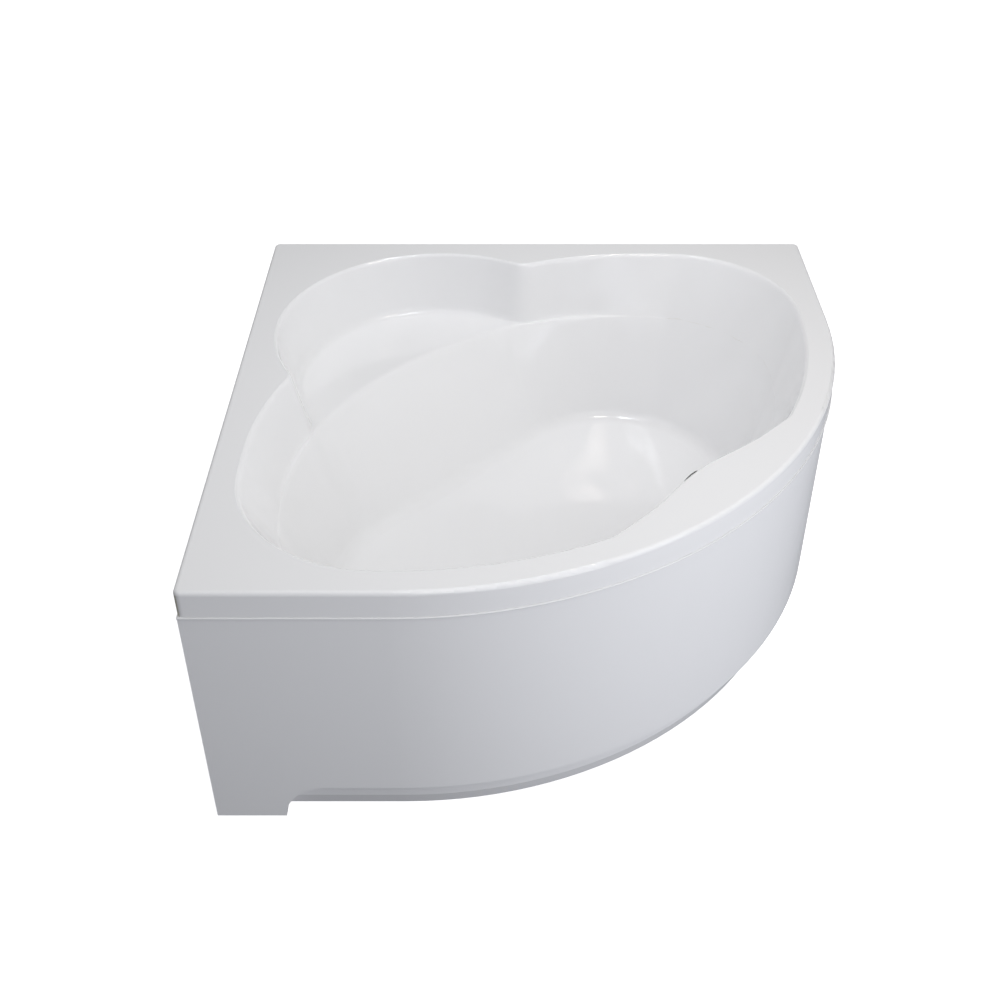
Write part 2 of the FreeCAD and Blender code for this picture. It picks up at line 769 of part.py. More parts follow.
def make_battens():
    """Timber under the rim: straight along both walls, curved behind the front skirt."""
    near_wall = f"{HALF} - skirt_wall - batten_width"
    wall_length = "bath_length - skirt_wall - batten_width - batten_end_gap - batten_short_end"
    for label, x, y, length, width in (
            ("batten_back", f"skirt_wall + batten_width + batten_end_gap - {HALF}", near_wall,
             wall_length, "batten_width"),
            ("batten_left", f"skirt_wall - {HALF}", f"batten_short_end - {HALF}",
             "batten_width", f"{wall_length} + batten_end_gap - batten_width / 2")):
        bar = doc.addObject("Part::Box", label)
        bind(bar, {"Length": length, "Width": width, "Height": "skirt_depth - shell_skin"})
        place(bar, x, y, SKIRT_UNDER)
        keep(bar, label)
    batten = new_body("batten_front")
    flat = sketch(batten, "batten_front_plan", "XY_Plane")
    outer = f"({FRONT_RADIUS} - skirt_wall - slide_gap)"
    inner = f"({outer} - batten_width)"
    cosine, sine = "cos(front_batten_angle)", "sin(front_batten_angle)"
    draw(flat, (f"{outer} * {cosine}", f"-{outer} * {sine}"), [
        (f"{outer} * {cosine}", f"{outer} * {sine}", outer, "0", "0"),
        (f"{inner} * {cosine}", f"{inner} * {sine}"),
        (f"{inner} * {cosine}", f"-{inner} * {sine}", inner, "0", "0"),
    ])
    pad(batten, flat, "front_batten_height")
    place_diagonal(batten, FRONT_CENTER, "0", f"{RIM_UNDER} - front_batten_height")
    keep(batten, "batten_front")


def square_tube(label, length, stud_places=()):
    """A square steel tube that rises from its origin, with stud holes in its +y wall."""
    body = new_body(label)
    section = sketch(body, label + "_section", "XY_Plane")
    square(section, "(rail_size / 2)")
    square(section, "(rail_size / 2 - rail_wall)")
    pad(body, section, length)
    for count, along in enumerate(stud_places):
        hole = sketch(body, f"{label}_hole_{count}", "XZ_Plane")
        circle(hole, "stud_radius + fit_gap", "0", along)
        pocket(body, hole, "rail_size")
    return keep(body, label)


def make_frame():
    """Rails under the base board, a spine to the room corner, and posts to the rim and seat."""
    front = square_tube("rail_front", f"2 * {RAIL_HALF}",
                        [f"{RAIL_HALF} - front_leg_offset", f"{RAIL_HALF} + front_leg_offset"])
    place_diagonal(front, FRONT_RAIL, f"-{RAIL_HALF}", RAIL_MIDDLE, ALONG_Y)
    reach = f"({POST_PLACE} + rail_size / 2)"
    leg_inset = "(side_leg_inset + rail_size / 2)"
    middle = square_tube("rail_middle", f"2 * {reach}", [leg_inset, f"2 * {reach} - {leg_inset}"])
    place_diagonal(middle, MIDDLE_RAIL, f"-{reach}", RAIL_MIDDLE, ALONG_Y)
    rear = square_tube("rail_rear", f"2 * {RAIL_HALF}")
    place_diagonal(rear, REAR_RAIL, f"-{RAIL_HALF}", RAIL_MIDDLE, ALONG_Y)
    spine_start = f"({REAR_RAIL} - rail_size / 2)"
    spine_length = f"({spine_start} - {SPINE_END})"
    spine = square_tube("spine", spine_length, [f"{spine_length} - rear_leg_inset"])
    place_diagonal(spine, spine_start, "0", RAIL_MIDDLE, TO_CORNER)
    for side, sign in SIDES.items():
        for label, start, end in (("tie_front", MIDDLE_RAIL, FRONT_RAIL),
                                  ("tie_rear", REAR_RAIL, MIDDLE_RAIL)):
            tie = square_tube(f"{label}_{side}", f"{end} - {start} - rail_size")
            place_diagonal(tie, f"{start} + rail_size / 2", f"{sign} * tie_offset", RAIL_MIDDLE, ALONG_X)
        post = square_tube(f"post_{side}", f"{RIM_UNDER} - {RAIL_TOP}")
        place_diagonal(post, MIDDLE_RAIL, f"{sign} * {POST_PLACE}", RAIL_TOP)
    corner = square_tube("post_corner", f"{RIM_UNDER} - {RAIL_TOP}")
    place_diagonal(corner, f"{SPINE_END} + rail_size / 2", "0", RAIL_TOP)
    seat = square_tube("post_seat", f"{SEAT_UNDER} - seat_board_thickness - {RAIL_TOP}")
    place_diagonal(seat, SEAT_POST, "0", RAIL_TOP)

    caps = []
    ends = [(SPINE_END, "0", TO_CORNER)]
    for x, half in ((FRONT_RAIL, RAIL_HALF), (MIDDLE_RAIL, reach), (REAR_RAIL, RAIL_HALF)):
        ends.append((x, half, ALONG_Y))
        ends.append((x, f"-{half}", ALONG_Y.inverted()))
    for count, (x, y, rotation) in enumerate(ends):
        cap = new_body(f"rail_cap_{count}")
        plate = sketch(cap, f"cap_plate_{count}", "XY_Plane")
        square(plate, "(rail_size / 2)")
        pad(cap, plate, "cap_plate")
        plug = sketch(cap, f"cap_plug_{count}", "XY_Plane")
        square(plug, "(rail_size / 2 - rail_wall - slide_gap)")
        pad(cap, plug, "cap_plug", reverse=True)
        place_diagonal(cap, x, y, RAIL_MIDDLE, rotation)
        caps.append(cap)
    group("rail_caps", caps)


LEGS = {
    "front_left": (FRONT_RAIL, "-front_leg_offset"),
    "front_right": (FRONT_RAIL, "front_leg_offset"),
    "side_left": (MIDDLE_RAIL, f"side_leg_inset - {POST_PLACE}"),
    "side_right": (MIDDLE_RAIL, f"{POST_PLACE} - side_leg_inset"),
    "rear": (f"{SPINE_END} + rear_leg_inset", "0"),
}


def make_legs():
    """Five screwed legs: a stud in a plastic foot, locked by a nut under its rail."""
    nuts = []
    stud_top = f"({RAIL_TOP} - rail_wall - stud_top_gap)"
    for name, (x, y) in LEGS.items():
        stud = turned(f"stud_{name}", ("0", "foot_sole"), [
            ("stud_radius", "foot_sole"), ("stud_radius", f"{stud_top} - stud_radius / 4"),
            ("stud_radius * 0.75", stud_top), ("0", stud_top)])
        place_diagonal(stud, x, y, "0")
        keep(stud, f"stud_{name}")
        bore = "(stud_radius + slide_gap / 2)"
        foot = turned(f"foot_{name}", ("0", "0"), [
            ("foot_radius - foot_base / 3", "0"), ("foot_radius", "foot_base / 3"),
            ("foot_radius", "foot_base"), ("foot_neck", "foot_base + foot_height / 2"),
            ("foot_neck", "foot_height"), (bore, "foot_height"), (bore, "foot_sole"),
            ("0", "foot_sole")])
        place_diagonal(foot, x, y, "0")
        keep(foot, f"foot_{name}")
        blank = doc.addObject("Part::Prism", f"nut_blank_{name}")
        bind(blank, {"Circumradius": "nut_radius", "Height": "nut_height"})
        bore_cut = doc.addObject("Part::Cylinder", f"nut_bore_{name}")
        bind(bore_cut, {"Radius": "stud_radius + slide_gap", "Height": "nut_height"})
        nut = doc.addObject("Part::Cut", f"leg_nut_{name}")
        nut.Base = blank
        nut.Tool = bore_cut
        place_diagonal(nut, x, y, f"{RAIL_UNDER} - nut_height")
        nuts.append(nut)
    group("leg_nuts", nuts)


def panel_run(flat, start, setback):
    """The way along the panel's face: a straight end, the curved front and the other end."""
    low = f"({setback} - {HALF})"
    high = f"({HALF} - ({setback}))"
    draw(flat, (f"{start} - {HALF}", low), [
        (f"end_straight - {HALF}", low),
        (high, f"{HALF} - end_straight", f"{FRONT_RADIUS} - ({setback})",
         f"end_straight - {HALF}", f"{HALF} - end_straight"),
        (high, f"{HALF} - ({start})"),
    ], closed=False)


def make_panel():
    """The front panel: a curved wall with a top flange and a toe recess between two end feet."""
    panel = new_body("front_panel")

    def inward(depth):
        """The level line at a depth behind the panel's face."""
        return f"(panel_setback + {depth} - {HALF})"

    wall_path = sketch(panel, "wall_path", "XY_Plane")
    panel_run(wall_path, "0", "panel_setback")
    wall = sketch(panel, "wall_section", "YZ_Plane", f"-{HALF}")
    draw(wall, (inward("0"), RECESS_TOP), [
        (inward("0"), f"{PANEL_TOP} - panel_edge_round"),
        (inward("panel_edge_round"), PANEL_TOP, "panel_edge_round",
         inward("panel_edge_round"), f"{PANEL_TOP} - panel_edge_round"),
        (inward("panel_flange"), PANEL_TOP),
        (inward("panel_flange"), FLANGE_UNDER),
        (inward("panel_skin"), FLANGE_UNDER),
        (inward("panel_skin"), RECESS_TOP),
    ])
    sweep(panel, wall, wall_path)

    kick_path = sketch(panel, "kick_path", "XY_Plane")
    panel_run(kick_path, "panel_foot", "panel_setback")
    kick = sketch(panel, "kick_section", "YZ_Plane", f"panel_foot - {HALF}")
    kick_top = "(panel_floor_gap + kick_height)"
    draw(kick, (inward("0"), RECESS_TOP), [
        (inward("0"), f"{RECESS_TOP} + panel_skin"),
        (inward("recess_depth + panel_skin"), f"{RECESS_TOP} + panel_skin"),
        (inward("recess_depth + panel_skin"), kick_top),
        (inward("recess_depth + panel_skin + kick_slope"), "panel_floor_gap"),
        (inward("recess_depth + kick_slope"), "panel_floor_gap"),
        (inward("recess_depth"), kick_top),
        (inward("recess_depth"), RECESS_TOP),
    ])
    sweep(panel, kick, kick_path)

    for side, sign, plane in (("left", "1", "XZ_Plane"), ("right", "-1", "YZ_Plane")):
        def along(distance):
            """The place at a distance from this end of the panel."""
            return f"({sign} * ({distance} - {HALF}))"

        low = "panel_floor_gap"
        center = along("(panel_foot + recess_height)")
        foot = sketch(panel, f"foot_{side}_face", plane, f"{HALF} - panel_setback")
        draw(foot, (along("0"), low), [
            (along("panel_foot"), low),
            (center, RECESS_TOP, "recess_height", center, low),
            (center, f"{RECESS_TOP} + panel_skin"),
            (along("0"), f"{RECESS_TOP} + panel_skin"),
        ])
        pad(panel, foot, "panel_skin", reverse=True)
        cheek = sketch(panel, f"cheek_{side}_face", plane, f"{HALF} - panel_setback")
        draw(cheek, (along("panel_foot"), low), [
            (center, RECESS_TOP, "recess_height", center, low),
            (center, f"{RECESS_TOP} + panel_skin"),
            (along("(panel_foot - panel_skin)"), low, "recess_height + panel_skin", center, low),
        ])
        pad(panel, cheek, "recess_depth + panel_skin + kick_slope", reverse=True)
    keep(panel, "front_panel")

    clips = []
    face = f"({FRONT_RADIUS} - skirt_wall - 2 * slide_gap - batten_width)"
    for count in range(-2, 3):
        clip = new_body(f"panel_clip_{count + 2}")
        outline = sketch(clip, f"clip_outline_{count + 2}", "XZ_Plane")
        draw(outline, (f"{face} - clip_skin", f"{FLANGE_UNDER} - clip_skin"), [
            (f"{face} + clip_foot", f"{FLANGE_UNDER} - clip_skin"),
            (f"{face} + clip_foot", FLANGE_UNDER),
            (face, FLANGE_UNDER),
            (face, f"{RIM_UNDER} - clip_drop"),
            (f"{face} - clip_skin", f"{RIM_UNDER} - clip_drop"),
        ])
        pad(clip, outline, "clip_width", both_ways=True)
        swing = Rotation(Vector(0, 0, 1), count * size.clip_step)
        place_diagonal(clip, FRONT_CENTER, "0", "0", swing)
        clips.append(clip)
    group("panel_clips", clips)

    for side, sign in SIDES.items():
        stay = new_body(f"stay_{side}")
        outline = sketch(stay, f"stay_{side}_outline", "XZ_Plane")
        back, front = f"{FRONT_RAIL} - rail_size / 2", f"({FRONT_RAIL} + rail_size / 2)"
        low = "(panel_floor_gap + kick_height + slide_gap)"
        inside = f"({FRONT_RADIUS} - panel_setback - recess_depth - panel_skin - slide_gap)"
        end = f"({FRONT_CENTER} + sqrt({inside} ^ 2 - (stay_offset + stay_width / 2) ^ 2))"
        draw(outline, (back, f"{RAIL_UNDER} - stay_skin"), [
            (f"{front} - stay_skin", f"{RAIL_UNDER} - stay_skin"), (f"{front} - stay_skin", low),
            (end, low), (end, f"{low} + stay_tab"), (f"{end} - stay_skin", f"{low} + stay_tab"),
            (f"{end} - stay_skin", f"{low} + stay_skin"), (front, f"{low} + stay_skin"),
            (front, RAIL_UNDER), (back, RAIL_UNDER)])
        pad(stay, outline, "stay_width", both_ways=True)
        place_diagonal(stay, "0", f"{sign} * stay_offset", "0")
        keep(stay, f"stay_{side}")


def make_brackets():
    """Angle brackets screwed to both walls, which carry the skirt and the battens."""
    brackets = []
    for wall, rotation in (("back", UPRIGHT), ("left", Rotation(Vector(0, 0, 1), 90))):
        for side, sign in SIDES.items():
            name = f"bracket_{wall}_{side}"
            bracket = new_body(name)
            outline = sketch(bracket, name + "_outline", "YZ_Plane")
            draw(outline, (HALF, f"{SKIRT_UNDER} - bracket_drop"), [
                (HALF, SKIRT_UNDER),
                (f"{HALF} - bracket_reach", SKIRT_UNDER),
                (f"{HALF} - bracket_reach", f"{SKIRT_UNDER} - bracket_skin"),
                (f"{HALF} - bracket_skin", f"{SKIRT_UNDER} - bracket_skin"),
                (f"{HALF} - bracket_skin", f"{SKIRT_UNDER} - bracket_drop"),
            ])
            pad(bracket, outline, "bracket_width", both_ways=True)
            hole = sketch(bracket, name + "_hole", "XZ_Plane", f"-{HALF}")
            circle(hole, "bracket_hole", "0", f"{SKIRT_UNDER} - bracket_hole_drop")
            pocket(bracket, hole, "2 * bracket_skin", reverse=True)
            shift = f"{sign} * bracket_offset"
            if wall == "back":
                place(bracket, shift, "0", "0", rotation)
            else:
                place(bracket, "0", shift, "0", rotation)
            brackets.append(bracket)
    group("wall_brackets", brackets)


def add_spider(body, name, level, bore, sleeve_bore):
    """Three spokes and a guide hub inside a sleeve, raised from a level."""
    arm = sketch(body, name + "_spoke", "XY_Plane", level)
    rectangle(arm, f"{bore} + hub_wall / 2", "-spoke_width / 2",
              f"{sleeve_bore} + hub_wall / 2", "spoke_width / 2")
    around(body, pad(body, arm, "spoke_height"), 3)
    hub = sketch(body, name + "_hub", "XY_Plane", level)
    circle(hub, f"{bore} + hub_wall")
    circle(hub, bore)
    body.Tip = pad(body, hub, "hub_height")


def make_drain():
    """The waste set under the floor: flange, gasket, bowl, and the plug with its seal."""
    bore = f"({SLEEVE_RADIUS} - flange_wall)"
    flange = turned("drain_flange", (bore, "-flange_sleeve"), [
        (SLEEVE_RADIUS, "-flange_sleeve"), (SLEEVE_RADIUS, "0"), ("flange_radius", "0"),
        ("flange_radius", "flange_lip / 3"), ("flange_radius - flange_lip", "flange_lip"),
        ("seal_inner - flange_lip / 2", "flange_lip"), (bore, "-flange_lip")])
    add_spider(flange, "drain", "-flange_sleeve", STEM_BORE, bore)
    place_diagonal(flange, DRAIN, "0", FLOOR_TOP)
    keep(flange, "drain_flange")

    inner = "(drain_hole + slide_gap)"
    gasket = turned("drain_gasket", (inner, "-gasket_thickness"), [
        (f"{inner} + gasket_width", "-gasket_thickness"), (f"{inner} + gasket_width", "0"), (inner, "0")])
    place_diagonal(gasket, DRAIN, "0", FLOOR_UNDER)
    keep(gasket, "drain_gasket")

    top, bottom = f"({BOWL_TOP} - {FLOOR_UNDER})", "(-bowl_depth)"
    rim = f"{inner} + gasket_width"
    body = turned("waste_body", (inner, top), [
        (rim, top), (rim, f"{top} - bowl_flange"), ("bowl_radius", f"{top} - bowl_flange"),
        ("bowl_radius", f"{bottom} + bowl_wall"), ("bowl_radius - bowl_wall", bottom),
        ("pipe_radius", bottom), ("pipe_radius", f"{bottom} - neck_length"),
        (PIPE_BORE, f"{bottom} - neck_length"), (PIPE_BORE, f"{bottom} + bowl_wall"),
        ("bowl_radius - 2 * bowl_wall", f"{bottom} + bowl_wall"),
        ("bowl_radius - bowl_wall", f"{bottom} + 2 * bowl_wall"),
        ("bowl_radius - bowl_wall", f"{top} - bowl_flange"), (inner, f"{top} - bowl_flange")])
    port = sketch(body, "waste_port", "YZ_Plane", "bowl_radius - bowl_wall / 2")
    circle(port, "pipe_radius", "0", "-port_drop")
    pad(body, port, "port_reach - bowl_radius + bowl_wall / 2")
    port_bore = sketch(body, "waste_port_bore", "YZ_Plane", "port_reach")
    circle(port_bore, PIPE_BORE, "0", "-port_drop")
    pocket(body, port_bore, "port_reach - bowl_radius + 2 * bowl_wall")
    place_diagonal(body, DRAIN, "0", FLOOR_UNDER)
    keep(body, "waste_body")

    low = "(flange_lip + slide_gap + seal_height)"
    plug = turned("drain_plug", ("0", f"{low} - plug_stem_length"), [
        ("plug_stem", f"{low} - plug_stem_length"), ("plug_stem", low), ("plug_radius", low),
        ("plug_radius", f"{low} + plug_edge"),
        ("0", f"{low} + plug_edge + plug_crown",
         "(plug_radius ^ 2 + plug_crown ^ 2) / (2 * plug_crown)", "0",
         f"{low} + plug_edge + plug_crown - (plug_radius ^ 2 + plug_crown ^ 2) / (2 * plug_crown)")])
    place_diagonal(plug, DRAIN, "0", FLOOR_TOP)
    keep(plug, "drain_plug")
    seal = turned("plug_seal", ("seal_inner", "0"), [
        ("seal_outer", "0"), ("seal_outer", "seal_height"), ("seal_inner", "seal_height")])
    place_diagonal(seal, DRAIN, "0", f"{FLOOR_TOP} + flange_lip + slide_gap")
    keep(seal, "plug_seal")


def union_nut(label):
    """A ribbed plastic nut over a pipe joint, centred on its origin."""
    half = "(nut_ring_length / 2)"
    inner = "(pipe_radius + slide_gap)"
    nut = turned(label, (inner, f"-{half}"), [
        ("nut_ring_radius", f"-{half}"), ("nut_ring_radius", half), (inner, half)])
    rib = sketch(nut, label + "_rib", "XY_Plane", f"-{half}")
    rectangle(rib, "nut_ring_radius - nut_rib", "-nut_rib_width / 2",
              "nut_ring_radius + nut_rib", "nut_rib_width / 2")
    around(nut, pad(nut, rib, "nut_ring_length"), 10)
    return keep(nut, label)


def make_trap():
    """The trap under the bowl, and its tail, which leaves towards the left wall."""
    drain_x, drain_y = f"{DRAIN} / sqrt(2)", f"-{DRAIN} / sqrt(2)"
    nut = union_nut("trap_nut")
    place(nut, drain_x, drain_y, NECK_BOTTOM)

    trap = new_body("trap_bend")
    low, rise = "(-trap_drop)", "(trap_rise - trap_drop)"
    level = f"({rise} + trap_bend)"
    path = sketch(trap, "trap_path", "XZ_Plane")
    draw(path, ("0", "0"), [
        ("0", low),
        ("-trap_bend", f"{low} - trap_bend", "trap_bend", "-trap_bend", low),
        ("-2 * trap_bend", low, "trap_bend", "-trap_bend", low),
        ("-2 * trap_bend", rise),
        ("-3 * trap_bend", level, "trap_bend", "-3 * trap_bend", rise),
        ("-3 * trap_bend - trap_run", level),
    ], closed=False)
    ring = sketch(trap, "trap_section", "XY_Plane")
    circle(ring, "pipe_radius")
    circle(ring, PIPE_BORE)
    sweep(trap, ring, path)
    place(trap, drain_x, drain_y, NECK_BOTTOM)
    keep(trap, "trap_bend")

    joint = f"{drain_x} - 3 * trap_bend - trap_run"
    nut = union_nut("outlet_nut")
    place(nut, joint, drain_y, f"{NECK_BOTTOM} + {level}", TO_WALL)
    collar = "(nut_ring_length / 2 + slide_gap)"
    tail = turned("outlet_tail", (PIPE_BORE, "0"), [
        ("pipe_radius", "0"), ("pipe_radius", collar), ("pipe_radius + tail_collar", collar),
        ("pipe_radius + tail_collar", f"{collar} + 2 * tail_collar"),
        ("pipe_radius", f"{collar} + 2 * tail_collar"), ("pipe_radius", "tail_length - pipe_wall / 2"),
        ("pipe_radius - pipe_wall / 2", "tail_length"), (PIPE_BORE, "tail_length")])
    place(tail, joint, drain_y, f"{NECK_BOTTOM} + {level}", TO_WALL)
    keep(tail, "outlet_tail")


def make_overflow():
    """The overflow in the front wall: plate, knob, gasket, elbow and the pipe to the bowl."""
    bore = f"({PLATE_SLEEVE_RADIUS} - plate_wall)"
    seat = "(slide_gap / 2)"
    plate = turned("overflow_plate", (bore, "-plate_sleeve"), [
        (PLATE_SLEEVE_RADIUS, "-plate_sleeve"), (PLATE_SLEEVE_RADIUS, seat), ("plate_radius", seat),
        ("plate_radius", "plate_thickness / 2"),
        ("plate_radius - plate_thickness / 2", "plate_thickness"), (bore, "plate_thickness")])
    add_spider(plate, "overflow", "-plate_sleeve", SHAFT_BORE, bore)
    place_diagonal(plate, OVERFLOW, "0", OVERFLOW_LEVEL, OUT_OF_WALL)
    keep(plate, "overflow_plate")

    top = "(knob_gap + knob_height)"
    knob = turned("overflow_knob", ("0", "-knob_shaft_length"), [
        ("knob_shaft", "-knob_shaft_length"), ("knob_shaft", "knob_gap"),
        ("knob_radius - knob_round / 2", "knob_gap"),
        ("knob_radius", "knob_gap + knob_round / 2", "knob_round / 2",
         "knob_radius - knob_round / 2", "knob_gap + knob_round / 2"),
        ("knob_radius", f"{top} - knob_round"),
        ("knob_radius - knob_round", top, "knob_round", "knob_radius - knob_round", f"{top} - knob_round"),
        ("0", top)])
    notch = sketch(knob, "knob_notch", "XY_Plane", top)
    circle(notch, "knob_notch", "knob_radius + knob_notch / 2")
    around(knob, pocket(knob, notch, "knob_height"), 6)
    place_diagonal(knob, OVERFLOW, "0", OVERFLOW_LEVEL, OUT_OF_WALL)
    keep(knob, "overflow_knob")

    inner = "(overflow_hole + slide_gap)"
    swell_sag = f"ledge_swell * (1 - cos(180 * ({inner} + gasket_width) / swell_reach)) / 2"
    back = f"(-shell_skin * {WALL_COS} - slide_gap - {swell_sag})"
    gasket = turned("overflow_gasket", (inner, f"{back} - gasket_thickness"), [
        (f"{inner} + gasket_width", f"{back} - gasket_thickness"), (f"{inner} + gasket_width", back),
        (inner, back)])
    place_diagonal(gasket, OVERFLOW, "0", OVERFLOW_LEVEL, OUT_OF_WALL)
    keep(gasket, "overflow_gasket")

    front = f"({back} - gasket_thickness)"
    rear = "(-chamber_depth)"
    rim = f"{inner} + gasket_width"
    elbow = turned("overflow_body", ("0", rear), [
        ("chamber_radius - bowl_wall", rear), ("chamber_radius", f"{rear} + bowl_wall"),
        ("chamber_radius", f"{front} - bowl_flange"), (rim, f"{front} - bowl_flange"), (rim, front),
        (inner, front), (inner, f"{front} - bowl_flange"),
        ("chamber_radius - bowl_wall", f"{front} - bowl_flange"),
        ("chamber_radius - bowl_wall", f"{rear} + bowl_wall"), ("0", f"{rear} + bowl_wall")])
    spigot = sketch(elbow, "overflow_spigot", "YZ_Plane", "bowl_wall / 2 - chamber_radius")
    circle(spigot, "pipe_radius", "0", "-spigot_offset")
    pad(elbow, spigot, "spigot_reach - chamber_radius + bowl_wall / 2", reverse=True)
    spigot_bore = sketch(elbow, "overflow_spigot_bore", "YZ_Plane", "-spigot_reach")
    circle(spigot_bore, PIPE_BORE, "0", "-spigot_offset")
    pocket(elbow, spigot_bore, "spigot_reach - chamber_radius + 2 * bowl_wall", reverse=True)
    place_diagonal(elbow, OVERFLOW, "0", OVERFLOW_LEVEL, OUT_OF_WALL)
    keep(elbow, "overflow_body")

    nut = union_nut("overflow_nut_upper")
    place_diagonal(nut, SPIGOT_END, "0", SPIGOT_LEVEL, DOWN_WALL)
    nut = union_nut("overflow_nut_lower")
    place_diagonal(nut, PORT_END, "0", PORT_LEVEL, ALONG_X)

    pipe = new_body("overflow_pipe")
    path = sketch(pipe, "overflow_path", "XZ_Plane")
    corner = f"({SPIGOT_END} - ({SPIGOT_LEVEL} - {PORT_LEVEL}) * {WALL_SIN} / {WALL_COS})"
    tangent = f"(pipe_bend * (1 - {WALL_SIN}) / {WALL_COS})"
    draw(path, (PORT_END, PORT_LEVEL), [
        (f"{corner} - {tangent}", PORT_LEVEL),
        (f"{corner} + {tangent} * {WALL_SIN}", f"{PORT_LEVEL} + {tangent} * {WALL_COS}", "pipe_bend",
         f"{corner} - {tangent}", f"{PORT_LEVEL} + pipe_bend"),
        (SPIGOT_END, SPIGOT_LEVEL),
    ], closed=False)
    ring = sketch(pipe, "overflow_pipe_section", "YZ_Plane", PORT_END)
    circle(ring, "pipe_radius", "0", PORT_LEVEL)
    circle(ring, PIPE_BORE, "0", PORT_LEVEL)
    sweep(pipe, ring, path)
    place_diagonal(pipe, "0", "0", "0")
    keep(pipe, "overflow_pipe")


def check():
    """Stop if any feature failed, cut nothing or left no sound solid."""
    for thing in doc.Objects:
        if "Invalid" in thing.State or "Error" in thing.State:
            raise RuntimeError(f"{thing.Name} failed: {thing.State}")
        if thing.TypeId == "PartDesign::Pocket":
            if thing.Shape.Volume > thing.BaseFeature.Shape.Volume - 1:
                raise RuntimeError(f"{thing.Name} cuts nothing")
    for piece in pieces:
        shape = piece.Shape
        if shape.isNull() or not shape.isValid() or not shape.Solids:
            raise RuntimeError(f"{piece.Label} is not a sound solid")


make_shell()
make_boards()
make_battens()
make_frame()
make_legs()
make_panel()
make_brackets()
make_drain()
make_trap()
make_overflow()
doc.recompute()
check()
os.makedirs("parts", exist_ok=True)
for piece in pieces:
    piece.Shape.exportStep(f"parts/{piece.Label}.step")
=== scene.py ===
"""Looks of a corner bathtub with a built-in seat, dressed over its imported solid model."""

import logging
import math
from dataclasses import dataclass, field
from enum import Enum
from typing import Callable, Iterable, Sequence

import bmesh
import bpy
from mathutils import Matrix, Vector


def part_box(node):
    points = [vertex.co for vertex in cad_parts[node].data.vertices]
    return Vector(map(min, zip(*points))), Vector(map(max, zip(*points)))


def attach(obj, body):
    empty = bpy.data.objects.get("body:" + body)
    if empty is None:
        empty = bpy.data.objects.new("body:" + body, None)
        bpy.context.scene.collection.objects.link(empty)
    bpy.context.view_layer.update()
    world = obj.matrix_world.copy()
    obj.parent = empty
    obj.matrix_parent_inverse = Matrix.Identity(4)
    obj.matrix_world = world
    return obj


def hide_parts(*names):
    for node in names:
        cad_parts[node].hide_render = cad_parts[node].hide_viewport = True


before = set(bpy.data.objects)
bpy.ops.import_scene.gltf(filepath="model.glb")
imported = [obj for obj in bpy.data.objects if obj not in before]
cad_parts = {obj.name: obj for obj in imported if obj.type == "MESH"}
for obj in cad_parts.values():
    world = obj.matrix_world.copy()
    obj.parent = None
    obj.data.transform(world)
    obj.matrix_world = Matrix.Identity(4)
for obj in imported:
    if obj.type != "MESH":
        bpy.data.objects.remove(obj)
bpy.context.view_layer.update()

log = logging.getLogger("bath")

Rgb = tuple[float, float, float]
Place = tuple[float, float, float]

# Sizes of the plan outline that several pieces share, in metres
HALF_LENGTH = 0.7
END_STRAIGHT = 0.4
# Corners of a mesh that lie nearer than this are one corner
SAME_PLACE = 1e-6


class Axis(Enum):
    """Direction that a grain or a fastener follows."""

    X = (1.0, 0.0, 0.0)
    Y = (0.0, 1.0, 0.0)
    Z = (0.0, 0.0, 1.0)
    DOWN = (0.0, 0.0, -1.0)


def diagonal(along: float, across: float, level: float = 0.0) -> Vector:
    """Place given along and across the bath's diagonal.

    Args:
        along: distance from the middle towards the curved front.
        across: distance from the middle towards the back right end.
        level: height over the floor.

    Returns:
        The same place in the bath's own frame.
    """
    return Vector(((along + across) / math.sqrt(2), (across - along) / math.sqrt(2), level))


# Shared surface effects


class Tree:
    """A node tree with short ways to add and join nodes."""

    def __init__(self, tree: bpy.types.NodeTree) -> None:
        """Wrap a node tree."""
        self.tree = tree

    def add(self, kind: str, **settings: object) -> bpy.types.Node:
        """Add a node.

        Args:
            kind: the node type's name after ShaderNode, or the whole name of a group's end.
            settings: properties of the node.

        Returns:
            The new node.
        """
        name = kind if kind.startswith("NodeGroup") else "ShaderNode" + kind
        node = self.tree.nodes.new(name)
        for key, value in settings.items():
            setattr(node, key, value)
        return node

    def join(self, start: bpy.types.NodeSocket, end: bpy.types.NodeSocket) -> None:
        """Link an output to an input."""
        self.tree.links.new(start, end)


